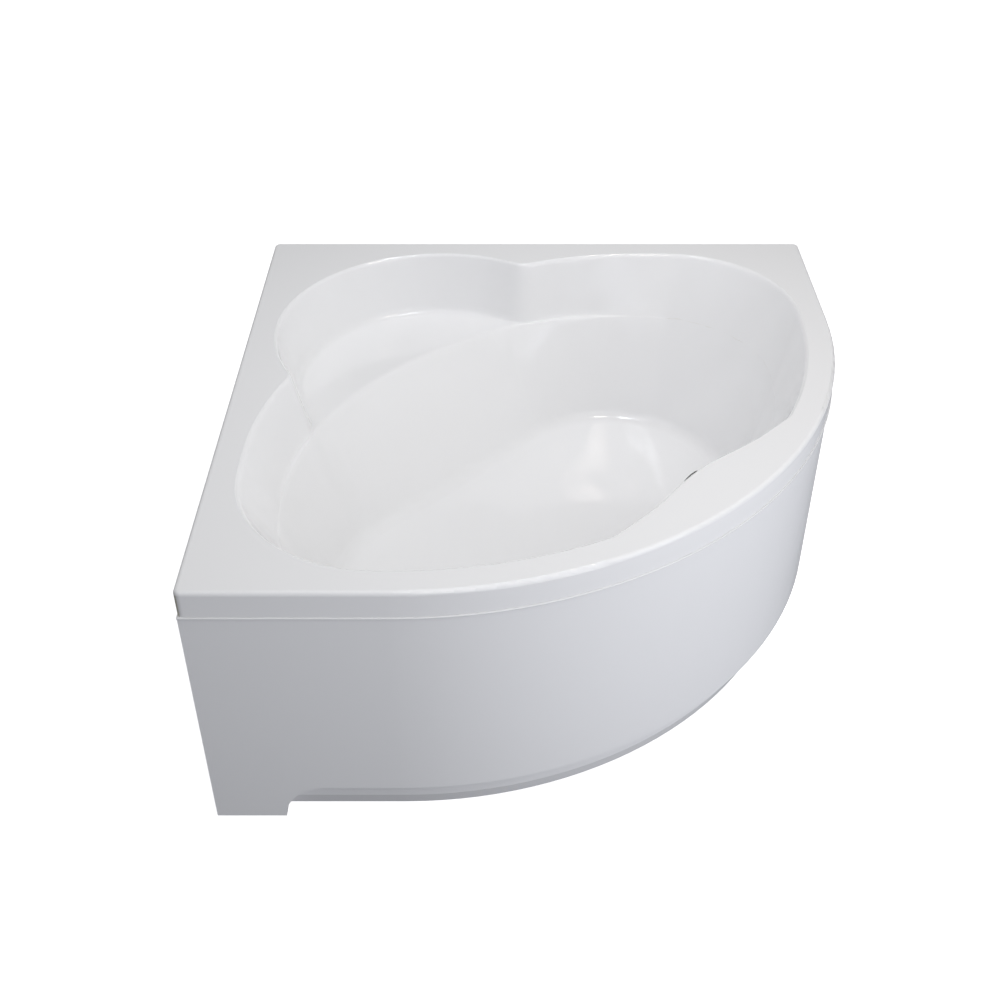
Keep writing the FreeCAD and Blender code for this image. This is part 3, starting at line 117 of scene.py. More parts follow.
class SurfaceEffects:
    """Shader node groups that several finishes share, each built once."""

    def __init__(self) -> None:
        """Build all the groups."""
        self.drift = self._make("colour_drift", self._fill_drift)
        self.polish = self._make("polish", self._fill_polish)
        self.ripple = self._make("ripple", self._fill_ripple)
        self.grain = self._make("wood_grain", self._fill_grain)
        self.flakes = self._make("flakes", self._fill_flakes)

    @staticmethod
    def _make(name: str, fill: Callable[[Tree], None]) -> bpy.types.NodeTree:
        """Make a group and fill it."""
        group = bpy.data.node_groups.new(name, "ShaderNodeTree")
        fill(Tree(group))
        return group

    @staticmethod
    def _sockets(tree: Tree, inputs: dict[str, object], outputs: dict[str, str]) -> tuple:
        """Give a group its named sockets.

        Args:
            tree: the group.
            inputs: default value of each input, a number or a colour.
            outputs: kind of each output, Color or Float.

        Returns:
            The group's input node and output node.
        """
        for name, value in inputs.items():
            kind = "NodeSocketFloat" if isinstance(value, float) else "NodeSocketColor"
            socket = tree.tree.interface.new_socket(name, in_out="INPUT", socket_type=kind)
            socket.default_value = value if isinstance(value, float) else (*value, 1.0)
        for name, kind in outputs.items():
            tree.tree.interface.new_socket(name, in_out="OUTPUT", socket_type="NodeSocket" + kind)
        return tree.add("NodeGroupInput"), tree.add("NodeGroupOutput")

    def _fill_drift(self, tree: Tree) -> None:
        """A colour that wanders slowly between two near shades."""
        ends = self._sockets(tree, {"Shade": (0.8, 0.8, 0.8), "Other": (0.7, 0.7, 0.7), "Scale": 6.0},
                             {"Color": "Color"})
        place = tree.add("TexCoord")
        noise = tree.add("TexNoise")
        noise.inputs["Detail"].default_value = 3.0
        mix = tree.add("Mix", data_type="RGBA")
        tree.join(place.outputs["Object"], noise.inputs["Vector"])
        tree.join(ends[0].outputs["Scale"], noise.inputs["Scale"])
        tree.join(noise.outputs["Fac"], mix.inputs["Factor"])
        tree.join(ends[0].outputs["Shade"], mix.inputs["A"])
        tree.join(ends[0].outputs["Other"], mix.inputs["B"])
        tree.join(mix.outputs["Result"], ends[1].inputs["Color"])

    def _fill_polish(self, tree: Tree) -> None:
        """A roughness that changes from well polished to slightly dull."""
        ends = self._sockets(tree, {"Polished": 0.1, "Dull": 0.2, "Scale": 8.0}, {"Roughness": "Float"})
        place = tree.add("TexCoord")
        noise = tree.add("TexNoise")
        noise.inputs["Detail"].default_value = 5.0
        spread = tree.add("MapRange")
        spread.inputs["From Min"].default_value = 0.3
        spread.inputs["From Max"].default_value = 0.7
        tree.join(place.outputs["Object"], noise.inputs["Vector"])
        tree.join(ends[0].outputs["Scale"], noise.inputs["Scale"])
        tree.join(noise.outputs["Fac"], spread.inputs["Value"])
        tree.join(ends[0].outputs["Polished"], spread.inputs["To Min"])
        tree.join(ends[0].outputs["Dull"], spread.inputs["To Max"])
        tree.join(spread.outputs["Result"], ends[1].inputs["Roughness"])

    def _fill_ripple(self, tree: Tree) -> None:
        """A height that bumps a surface, coarse waves with a fine texture on them."""
        ends = self._sockets(tree, {"Scale": 10.0, "Fine Scale": 400.0, "Fine Share": 0.2},
                             {"Height": "Float"})
        place = tree.add("TexCoord")
        coarse = tree.add("TexNoise")
        coarse.inputs["Detail"].default_value = 1.0
        fine = tree.add("TexNoise")
        fine.inputs["Detail"].default_value = 4.0
        mix = tree.add("Mix", data_type="FLOAT")
        for noise, scale in ((coarse, "Scale"), (fine, "Fine Scale")):
            tree.join(place.outputs["Object"], noise.inputs["Vector"])
            tree.join(ends[0].outputs[scale], noise.inputs["Scale"])
        tree.join(ends[0].outputs["Fine Share"], mix.inputs["Factor"])
        tree.join(coarse.outputs["Fac"], mix.inputs["A"])
        tree.join(fine.outputs["Fac"], mix.inputs["B"])
        tree.join(mix.outputs["Result"], ends[1].inputs["Height"])

    def _fill_grain(self, tree: Tree) -> None:
        """Long fibres and year rings of sawn timber that run along x."""
        ends = self._sockets(tree, {"Early": (0.7, 0.5, 0.3), "Late": (0.5, 0.3, 0.15), "Turn": 0.0},
                             {"Color": "Color", "Height": "Float"})
        place = tree.add("TexCoord")
        turn = tree.add("VectorRotate", rotation_type="Z_AXIS")
        stretch = tree.add("Mapping")
        stretch.inputs["Scale"].default_value = (1.2, 22.0, 22.0)
        rings = tree.add("TexWave", wave_type="RINGS", rings_direction="X")
        rings.inputs["Scale"].default_value = 1.4
        rings.inputs["Distortion"].default_value = 6.0
        rings.inputs["Detail"].default_value = 3.0
        fibre_stretch = tree.add("Mapping")
        fibre_stretch.inputs["Scale"].default_value = (9.0, 420.0, 420.0)
        fibres = tree.add("TexNoise")
        fibres.inputs["Scale"].default_value = 1.0
        fibres.inputs["Detail"].default_value = 4.0
        both = tree.add("Mix", data_type="FLOAT")
        both.inputs["Factor"].default_value = 0.45
        mix = tree.add("Mix", data_type="RGBA")
        tree.join(place.outputs["Object"], turn.inputs["Vector"])
        tree.join(ends[0].outputs["Turn"], turn.inputs["Angle"])
        tree.join(turn.outputs["Vector"], stretch.inputs["Vector"])
        tree.join(turn.outputs["Vector"], fibre_stretch.inputs["Vector"])
        tree.join(stretch.outputs["Vector"], rings.inputs["Vector"])
        tree.join(fibre_stretch.outputs["Vector"], fibres.inputs["Vector"])
        tree.join(rings.outputs["Fac"], both.inputs["A"])
        tree.join(fibres.outputs["Fac"], both.inputs["B"])
        tree.join(both.outputs["Result"], mix.inputs["Factor"])
        tree.join(ends[0].outputs["Early"], mix.inputs["A"])
        tree.join(ends[0].outputs["Late"], mix.inputs["B"])
        tree.join(mix.outputs["Result"], ends[1].inputs["Color"])
        tree.join(both.outputs["Result"], ends[1].inputs["Height"])

    def _fill_flakes(self, tree: Tree) -> None:
        """Angular flakes, as in pressed board, zinc spangle or chopped glass fibre."""
        ends = self._sockets(tree, {"Light": (0.7, 0.7, 0.7), "Dark": (0.4, 0.4, 0.4), "Scale": 120.0,
                                    "Stretch": 1.0},
                             {"Color": "Color", "Height": "Float"})
        place = tree.add("TexCoord")
        warp = tree.add("TexNoise")
        warp.inputs["Scale"].default_value = 30.0
        shift = tree.add("Mix", data_type="VECTOR")
        shift.inputs["Factor"].default_value = 0.03
        stretch = tree.add("CombineXYZ")
        stretch.inputs["Y"].default_value = 1.0
        stretch.inputs["Z"].default_value = 1.0
        scaled = tree.add("VectorMath", operation="MULTIPLY")
        cells = tree.add("TexVoronoi", feature="F1")
        cells.inputs["Randomness"].default_value = 1.0
        split = tree.add("SeparateColor")
        mix = tree.add("Mix", data_type="RGBA")
        tree.join(place.outputs["Object"], warp.inputs["Vector"])
        tree.join(place.outputs["Object"], shift.inputs["A"])
        tree.join(warp.outputs["Color"], shift.inputs["B"])
        tree.join(ends[0].outputs["Stretch"], stretch.inputs["X"])
        tree.join(shift.outputs["Result"], scaled.inputs[0])
        tree.join(stretch.outputs["Vector"], scaled.inputs[1])
        tree.join(scaled.outputs["Vector"], cells.inputs["Vector"])
        tree.join(ends[0].outputs["Scale"], cells.inputs["Scale"])
        tree.join(cells.outputs["Color"], split.inputs["Color"])
        tree.join(split.outputs["Red"], mix.inputs["Factor"])
        tree.join(ends[0].outputs["Dark"], mix.inputs["A"])
        tree.join(ends[0].outputs["Light"], mix.inputs["B"])
        tree.join(mix.outputs["Result"], ends[1].inputs["Color"])
        tree.join(split.outputs["Green"], ends[1].inputs["Height"])


EFFECTS = SurfaceEffects()


# Finishes


class Pattern(Enum):
    """What gives a finish its colour."""

    DRIFT = "colour_drift"
    GRAIN = "wood_grain"
    FLAKES = "flakes"


@dataclass(frozen=True)
class Finish:
    """One material of the bath, made from the shared effects.

    Colours are linear. Scales are in cells per metre and bump depths in metres.
    """

    name: str
    shade: Rgb
    other: Rgb
    polished: float
    dull: float
    pattern: Pattern = Pattern.DRIFT
    pattern_scale: float = 6.0
    stretch: float = 1.0
    turn: float = 0.0
    polish_scale: float = 8.0
    ripple_scale: float = 10.0
    fine_scale: float = 400.0
    fine_share: float = 0.2
    bump_depth: float = 0.0005
    bump_strength: float = 0.2
    metallic: float = 0.0
    refraction: float = 1.5

    def _pattern_node(self, tree: Tree) -> bpy.types.Node:
        """The group that gives this finish its colour, with its values set."""
        node = tree.add("Group", node_tree=bpy.data.node_groups[self.pattern.value])
        values = {
            Pattern.DRIFT: {"Shade": (*self.shade, 1.0), "Other": (*self.other, 1.0),
                            "Scale": self.pattern_scale},
            Pattern.GRAIN: {"Early": (*self.shade, 1.0), "Late": (*self.other, 1.0), "Turn": self.turn},
            Pattern.FLAKES: {"Light": (*self.shade, 1.0), "Dark": (*self.other, 1.0),
                             "Scale": self.pattern_scale, "Stretch": self.stretch},
        }[self.pattern]
        for key, value in values.items():
            node.inputs[key].default_value = value
        return node

    def material(self) -> bpy.types.Material:
        """The finish as a material, made at its first use.

        Returns:
            The material.
        """
        known = bpy.data.materials.get(self.name)
        if known is not None:
            return known
        made = bpy.data.materials.new(self.name)
        made.use_nodes = True
        made.diffuse_color = (*self.shade, 1.0)
        tree = Tree(made.node_tree)
        shader = made.node_tree.nodes["Principled BSDF"]
        shader.inputs["Metallic"].default_value = self.metallic
        shader.inputs["IOR"].default_value = self.refraction
        colour = self._pattern_node(tree)
        tree.join(colour.outputs["Color"], shader.inputs["Base Color"])
        polish = tree.add("Group", node_tree=EFFECTS.polish)
        polish.inputs["Polished"].default_value = self.polished
        polish.inputs["Dull"].default_value = self.dull
        polish.inputs["Scale"].default_value = self.polish_scale
        tree.join(polish.outputs["Roughness"], shader.inputs["Roughness"])
        bump = tree.add("Bump")
        bump.inputs["Strength"].default_value = self.bump_strength
        bump.inputs["Distance"].default_value = self.bump_depth
        if self.pattern is Pattern.DRIFT:
            ripple = tree.add("Group", node_tree=EFFECTS.ripple)
            ripple.inputs["Scale"].default_value = self.ripple_scale
            ripple.inputs["Fine Scale"].default_value = self.fine_scale
            ripple.inputs["Fine Share"].default_value = self.fine_share
            tree.join(ripple.outputs["Height"], bump.inputs["Height"])
        else:
            tree.join(colour.outputs["Height"], bump.inputs["Height"])
        tree.join(bump.outputs["Normal"], shader.inputs["Normal"])
        return made


ACRYLIC = Finish("white_acrylic", (0.915, 0.916, 0.919), (0.907, 0.908, 0.912), 0.07, 0.11,
                 pattern_scale=3.0, polish_scale=5.0, ripple_scale=7.0, fine_scale=900.0, fine_share=0.01,
                 bump_depth=0.0008, bump_strength=0.05, refraction=1.49)
PANEL_SHEET = Finish("white_panel_sheet", (0.895, 0.897, 0.902), (0.887, 0.889, 0.895), 0.14, 0.20,
                     pattern_scale=3.0, polish_scale=6.0, ripple_scale=6.0, fine_scale=900.0,
                     fine_share=0.02, bump_depth=0.001, bump_strength=0.06, refraction=1.49)
GLASS_FIBRE = Finish("glass_fibre_backing", (0.74, 0.72, 0.62), (0.60, 0.58, 0.48), 0.35, 0.6,
                     pattern=Pattern.FLAKES, pattern_scale=260.0, stretch=0.3, polish_scale=40.0,
                     bump_depth=0.0015, bump_strength=0.6)
SOFTWOOD = {
    Axis.X: Finish("softwood_along_wall", (0.62, 0.43, 0.24), (0.42, 0.25, 0.11), 0.55, 0.75,
                   pattern=Pattern.GRAIN, bump_depth=0.0004, bump_strength=0.4),
    Axis.Y: Finish("softwood_across", (0.62, 0.43, 0.24), (0.42, 0.25, 0.11), 0.55, 0.75,
                   pattern=Pattern.GRAIN, turn=math.radians(90), bump_depth=0.0004, bump_strength=0.4),
    Axis.Z: Finish("softwood_curved", (0.62, 0.43, 0.24), (0.42, 0.25, 0.11), 0.55, 0.75,
                   pattern=Pattern.GRAIN, turn=math.radians(-45), bump_depth=0.0004, bump_strength=0.4),
}
CHIPBOARD = Finish("chipboard", (0.56, 0.40, 0.23), (0.33, 0.21, 0.10), 0.6, 0.8, pattern=Pattern.FLAKES,
                   pattern_scale=230.0, stretch=0.45, bump_depth=0.0005, bump_strength=0.4)
GALVANISED = Finish("galvanised_tube", (0.56, 0.58, 0.60), (0.36, 0.38, 0.40), 0.3, 0.48,
                    pattern=Pattern.FLAKES, pattern_scale=70.0, polish_scale=30.0, bump_depth=0.0001,
                    bump_strength=0.2, metallic=0.9)
ZINC = Finish("zinc_plate", (0.68, 0.69, 0.68), (0.58, 0.60, 0.60), 0.22, 0.36, pattern_scale=20.0,
              polish_scale=60.0, bump_depth=0.0001, bump_strength=0.15, fine_share=0.6, metallic=1.0)
WELD = Finish("weld_bead", (0.30, 0.31, 0.33), (0.16, 0.15, 0.15), 0.35, 0.6, pattern_scale=150.0,
              polish_scale=80.0, ripple_scale=300.0, bump_depth=0.0004, bump_strength=0.5, metallic=0.9)
BLACK_PLASTIC = Finish("black_moulded_plastic", (0.022, 0.022, 0.024), (0.030, 0.030, 0.032), 0.45, 0.6,
                       pattern_scale=40.0, ripple_scale=40.0, fine_scale=1500.0, fine_share=0.7,
                       bump_depth=0.0002, bump_strength=0.4)
WHITE_PLASTIC = Finish("white_pipe_plastic", (0.70, 0.71, 0.71), (0.66, 0.67, 0.66), 0.28, 0.4,
                       pattern_scale=15.0, ripple_scale=30.0, fine_scale=1200.0, fine_share=0.5,
                       bump_depth=0.0002, bump_strength=0.25)
RUBBER = Finish("black_rubber", (0.018, 0.018, 0.018), (0.028, 0.027, 0.026), 0.6, 0.8, pattern_scale=60.0,
                fine_scale=1800.0, fine_share=0.8, bump_depth=0.0002, bump_strength=0.5)
DARK_CHROME = Finish("dark_chrome", (0.05, 0.055, 0.058), (0.04, 0.043, 0.046), 0.06, 0.14,
                     pattern_scale=20.0, polish_scale=40.0, ripple_scale=20.0, bump_depth=0.0001,
                     bump_strength=0.05, metallic=1.0)


# Helpers for meshes and nodes


def dress(node: str, finish: Finish) -> bpy.types.Object:
    """Give a solid of the frame one finish all over.

    Args:
        node: the solid's name.
        finish: its finish.

    Returns:
        The solid's object.
    """
    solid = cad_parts[node]
    solid.data.materials.clear()
    solid.data.materials.append(finish.material())
    log.info("%s: %s", node, finish.name)
    return solid


def new_piece(name: str, mesh: bpy.types.Mesh, body: str, finish: Finish) -> bpy.types.Object:
    """Put a mesh into the scene as a piece of the bath.

    Args:
        name: the piece's name.
        mesh: its mesh, in the bath's frame.
        body: the body that it moves with.
        finish: its finish.

    Returns:
        The new object.
    """
    mesh.materials.append(finish.material())
    piece = bpy.data.objects.new(name, mesh)
    bpy.context.scene.collection.objects.link(piece)
    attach(piece, body)
    log.info("%s: %s", name, finish.name)
    return piece


def to_mesh(name: str, shape: bmesh.types.BMesh, smooth: bool = True) -> bpy.types.Mesh:
    """Turn a built shape into mesh data.

    Args:
        name: the mesh's name.
        shape: the shape, which is freed.
        smooth: whether its faces are shaded as one curved surface.

    Returns:
        The mesh.
    """
    bmesh.ops.remove_doubles(shape, verts=shape.verts, dist=SAME_PLACE)
    bmesh.ops.recalc_face_normals(shape, faces=shape.faces)
    for face in shape.faces:
        face.smooth = smooth
    mesh = bpy.data.meshes.new(name)
    shape.to_mesh(mesh)
    shape.free()
    return mesh


def lathe(shape: bmesh.types.BMesh, outline: Sequence[tuple[float, float]], sides: int,
          place: Matrix) -> None:
    """Turn an outline of radius and level about z and add it to a shape.

    Args:
        shape: the shape that takes the turned part.
        outline: radius and level of each ring; a radius of zero closes an end.
        sides: count of faces round the axis.
        place: where the turned part goes.
    """
    rings = []
    for radius, level in outline:
        if radius == 0.0:
            rings.append([shape.verts.new(place @ Vector((0.0, 0.0, level)))])
            continue
        turns = [2 * math.pi * step / sides for step in range(sides)]
        rings.append([shape.verts.new(place @ Vector((radius * math.cos(turn), radius * math.sin(turn),
                                                      level)))
                      for turn in turns])
    for lower, upper in zip(rings, rings[1:]):
        for step in range(sides):
            after = (step + 1) % sides
            if len(lower) == 1:
                shape.faces.new((lower[0], upper[after], upper[step]))
            elif len(upper) == 1:
                shape.faces.new((lower[step], lower[after], upper[0]))
            else:
                shape.faces.new((lower[step], lower[after], upper[after], upper[step]))


def pointing(place: Vector, way: Vector) -> Matrix:
    """A frame at a place whose z axis points a given way."""
    return Matrix.Translation(place) @ way.to_track_quat("Z", "Y").to_matrix().to_4x4()


# Sub-assemblies


@dataclass
class Moulding:
    """The acrylic bath itself, glossy where it shows and backed with glass fibre behind."""

    half_length: float = HALF_LENGTH
    end_straight: float = END_STRAIGHT
    skirt_wall: float = 0.005
    upright_slope: float = 0.02

    def _outside(self, place: Vector) -> float:
        """How far a point lies inside the plan outline of the bath."""
        center = Vector((self.end_straight - self.half_length, self.half_length - self.end_straight))
        gaps = [self.half_length - abs(place.x), self.half_length - abs(place.y)]
        if place.x > center.x and place.y < center.y:
            gaps.append(2 * self.half_length - self.end_straight - (place.xy - center).length)
        return min(gaps)

    def dress(self) -> None:
        """Acrylic on the faces that show, glass fibre on those that look down or inwards."""
        shell = dress("bath_shell", ACRYLIC)
        shell.data.materials.append(GLASS_FIBRE.material())
        for face in shell.data.polygons:
            behind = face.normal.z < -self.upright_slope
            upright = abs(face.normal.z) <= self.upright_slope
            if upright and self._outside(face.center) > self.skirt_wall / 2:
                behind = True
            face.material_index = 1 if behind else 0


@dataclass
class FrontPanel:
    """The curved panel below the rim, with a rolled lip along its top edge."""

    half_length: float = HALF_LENGTH
    end_straight: float = END_STRAIGHT
    setback: float = 0.0015
    lip_reach: float = 0.004
    lip_root: float = 0.001
    lip_half_height: float = 0.0027
    lip_rise: float = 0.0006
    lip_end: float = 0.001
    arc_steps: int = 120
    lip_steps: int = 16

    def _top_edge(self) -> list[tuple[Vector, Vector]]:
        """Places along the panel's top edge, from wall to wall, and the ways that it faces there."""
        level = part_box("front_panel")[1][2] + self.lip_rise - self.lip_half_height
        inset = self.half_length - self.end_straight
        radius = self.half_length + inset - self.setback
        face = self.half_length - self.setback
        run = [(Vector((along - self.half_length, -face, level)), Vector((0.0, -1.0, 0.0)))
               for along in (0.0, self.lip_end)]
        for step in range(self.arc_steps + 1):
            turn = math.radians(90.0 * step / self.arc_steps - 90.0)
            facing = Vector((math.cos(turn), math.sin(turn), 0.0))
            run.append((Vector((-inset, inset, level)) + radius * facing, facing))
        run += [(Vector((face, self.half_length - along, level)), Vector((1.0, 0.0, 0.0)))
                for along in (self.lip_end, 0.0)]
        return run

    def dress(self) -> None:
        """One smooth sheet and its lip, which catches the light along the joint."""
        dress("front_panel", PANEL_SHEET)
        shape = bmesh.new()
        rings = []
        for place, facing in self._top_edge():
            ring = []
            for step in range(self.lip_steps):
                turn = 2 * math.pi * step / self.lip_steps
                reach = max(self.lip_reach * math.cos(turn), -self.lip_root)
                rise = Vector((0.0, 0.0, self.lip_half_height * math.sin(turn)))
                ring.append(shape.verts.new(place + reach * facing + rise))
            rings.append(ring)
        for first, second in zip(rings, rings[1:]):
            for step in range(self.lip_steps):
                after = (step + 1) % self.lip_steps
                shape.faces.new((first[step], first[after], second[after], second[step]))
        shape.faces.new(rings[0])
        shape.faces.new(rings[-1])
        new_piece("panel_lip", to_mesh("panel_lip", shape), "bath", ACRYLIC)


@dataclass
class Timbers:
    """Battens under the rim and boards under the floor and the seat."""

    battens: dict[str, Axis] = field(default_factory=lambda: {
        "batten_back": Axis.X, "batten_left": Axis.Y, "batten_front": Axis.Z})
    boards: tuple[str, ...] = ("base_board", "seat_board")

    def dress(self) -> None:
        """Grain along each batten, pressed flakes on the boards."""
        for node, way in self.battens.items():
            dress(node, SOFTWOOD[way])
        for node in self.boards:
            dress(node, CHIPBOARD)


@dataclass
class SteelFrame:
    """Square tubes welded together under the bath, with plastic end caps."""

    tube: float = 0.030
    rail_top: float = 0.201
    front_rail: float = 0.100736
    middle_rail: float = -0.029632
    rear_rail: float = -0.160
    tie_offset: float = 0.200
    post_across: float = 0.869949
    spine_end: float = -0.874949
    seat_post: float = -0.591575
    bead: float = 0.0022
    bead_sides: int = 6
    bead_thin: float = 0.75
    bead_swell: float = 0.35
    scales_per_side: int = 9
    rings_per_scale: int = 3

    def _tubes(self) -> list[str]:
        """Names of all the tubes."""
        starts = ("rail_front", "rail_middle", "rail_rear", "tie_", "spine", "post_")
        return [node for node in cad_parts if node.startswith(starts)]

    def _joints(self) -> list[Matrix]:
        """Frames of the welded joints, with z along the tube that ends there."""
        half = self.tube / 2
        middle = self.rail_top - half
        to_front = diagonal(1.0, 0.0)
        up = Vector(Axis.Z.value)
        joints = []
        for across in (-self.tie_offset, self.tie_offset):
            for along, way in ((self.front_rail - half, -to_front), (self.middle_rail + half, to_front),
                               (self.middle_rail - half, -to_front), (self.rear_rail + half, to_front)):
                joints.append(pointing(diagonal(along, across, middle), way))
        joints.append(pointing(diagonal(self.rear_rail - half, 0.0, middle), -to_front))
        for along, across in ((self.middle_rail, -self.post_across), (self.middle_rail, self.post_across),
                              (self.spine_end + half, 0.0), (self.seat_post, 0.0)):
            side = to_front.cross(up)
            turn = Matrix((to_front, side, up)).transposed().to_4x4()
            joints.append(Matrix.Translation(diagonal(along, across, self.rail_top)) @ turn)
        return joints

    def _bead_ring(self, shape: bmesh.types.BMesh, place: Matrix) -> None:
        """Add one ring of weld scales round a square tube's end.

        Args:
            shape: the shape that takes the ring.
            place: frame of the joint, with z along the tube.
        """
        half = self.tube / 2
        corners = [Vector((half, -half, 0)), Vector((half, half, 0)), Vector((-half, half, 0)),
                   Vector((-half, -half, 0))]
        sides = len(corners)
        steps = sides * self.scales_per_side * self.rings_per_scale
        rings = []
        for step in range(steps):
            share = sides * step / steps
            side = int(share)
            spot = corners[side].lerp(corners[(side + 1) % sides], share - side)
            outward = spot.normalized()
            wave = abs(math.sin(math.pi * share * self.scales_per_side))
            swell = self.bead_thin + self.bead_swell * wave
            ring = []
            for turn_step in range(self.bead_sides):
                angle = 2 * math.pi * turn_step / self.bead_sides
                reach = outward * math.cos(angle) + Vector(Axis.Z.value) * math.sin(angle)
                ring.append(shape.verts.new(place @ (spot + reach * self.bead * swell)))
            rings.append(ring)
        for first, second in zip(rings, rings[1:] + rings[:1]):
            for turn_step in range(self.bead_sides):
                after = (turn_step + 1) % self.bead_sides
                shape.faces.new((first[turn_step], first[after], second[after], second[turn_step]))

    def dress(self) -> None:
        """Zinc spangle on the tubes, black caps, and weld beads where tubes meet."""
        for node in self._tubes():
            dress(node, GALVANISED)
        dress("rail_caps", BLACK_PLASTIC)
        shape = bmesh.new()
        for place in self._joints():
            self._bead_ring(shape, place)
        new_piece("weld_beads", to_mesh("weld_beads", shape), "bath", WELD)


@dataclass
class Legs:
    """Five screwed legs with threaded studs, lock nuts and plastic feet."""

    spots: dict[str, tuple[float, float]] = field(default_factory=lambda: {
        "front_left": (0.100736, -0.300), "front_right": (0.100736, 0.300),
        "side_left": (-0.029632, -0.824949), "side_right": (-0.029632, 0.824949),
        "rear": (-0.774949, 0.0)})
    stud_radius: float = 0.006
    stud_low: float = 0.008
    stud_high: float = 0.195
    pitch: float = 0.00175
    thread_depth: float = 0.0009
    rings_per_turn: int = 6
    end_share: float = 0.75
    end_taper: float = 0.55
    sides: int = 16
    nut_low: float = 0.161
    nut_high: float = 0.171
    nut_radius: float = 0.0115
    nut_chamfer: float = 0.0012
    nut_rim_share: float = 0.9
    nut_sides: int = 6

    def _stud(self, name: str, place: Vector) -> bpy.types.Mesh:
        """One threaded stud.

        Args:
            name: the mesh's name.
            place: the leg's place on the floor.

        Returns:
            Its mesh.
        """
        shape = bmesh.new()
        count = int((self.stud_high - self.stud_low) / self.pitch * self.rings_per_turn)
        rings = []
        for level_step in range(count + 1):
            level = self.stud_low + (self.stud_high - self.stud_low) * level_step / count
            end_gap = min(level - self.stud_low, self.stud_high - level)
            taper = min(1.0, end_gap / (2 * self.pitch) + self.end_taper)
            widest = self.stud_radius * (self.end_share + (1.0 - self.end_share) * taper)
            ring = []
            for step in range(self.sides):
                phase = (level / self.pitch - step / self.sides) % 1.0
                cut = self.thread_depth * abs(2 * phase - 1)
                radius = min(self.stud_radius - cut, widest)
                turn = 2 * math.pi * step / self.sides
                ring.append(shape.verts.new(place + Vector((radius * math.cos(turn),
                                                            radius * math.sin(turn), level))))
            rings.append(ring)
        for lower, upper in zip(rings, rings[1:]):
            for step in range(self.sides):
                after = (step + 1) % self.sides
                shape.faces.new((lower[step], lower[after], upper[after], upper[step]))
        shape.faces.new(rings[0][::-1])
        shape.faces.new(rings[-1])
        return to_mesh(name, shape)

    def _nut(self, shape: bmesh.types.BMesh, place: Vector) -> None:
        """Add one chamfered hexagon nut with its bore to a shape."""
        bore = self.stud_radius
        flat = self.nut_radius
        rim = flat * self.nut_rim_share
        outline = ((bore, self.nut_low), (rim, self.nut_low), (flat, self.nut_low + self.nut_chamfer),
                   (flat, self.nut_high - self.nut_chamfer), (rim, self.nut_high), (bore, self.nut_high),
                   (bore, self.nut_low))
        lathe(shape, outline, self.nut_sides, Matrix.Translation(place))

    def dress(self) -> None:
        """Threads on the studs, chamfers on the nuts, matt black feet."""
        nuts = bmesh.new()
        for name, (along, across) in self.spots.items():
            place = diagonal(along, across)
            dress(f"foot_{name}", BLACK_PLASTIC)
            mesh = self._stud(f"threaded_stud_{name}", place)
            stud = new_piece(f"threaded_stud_{name}", mesh, f"leg_{name}", ZINC)
            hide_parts(f"stud_{name}")
            self._nut(nuts, place)
        mesh = to_mesh("lock_nuts", nuts, smooth=False)
        nut = new_piece("lock_nuts", mesh, "bath", ZINC)
        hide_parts("leg_nuts")


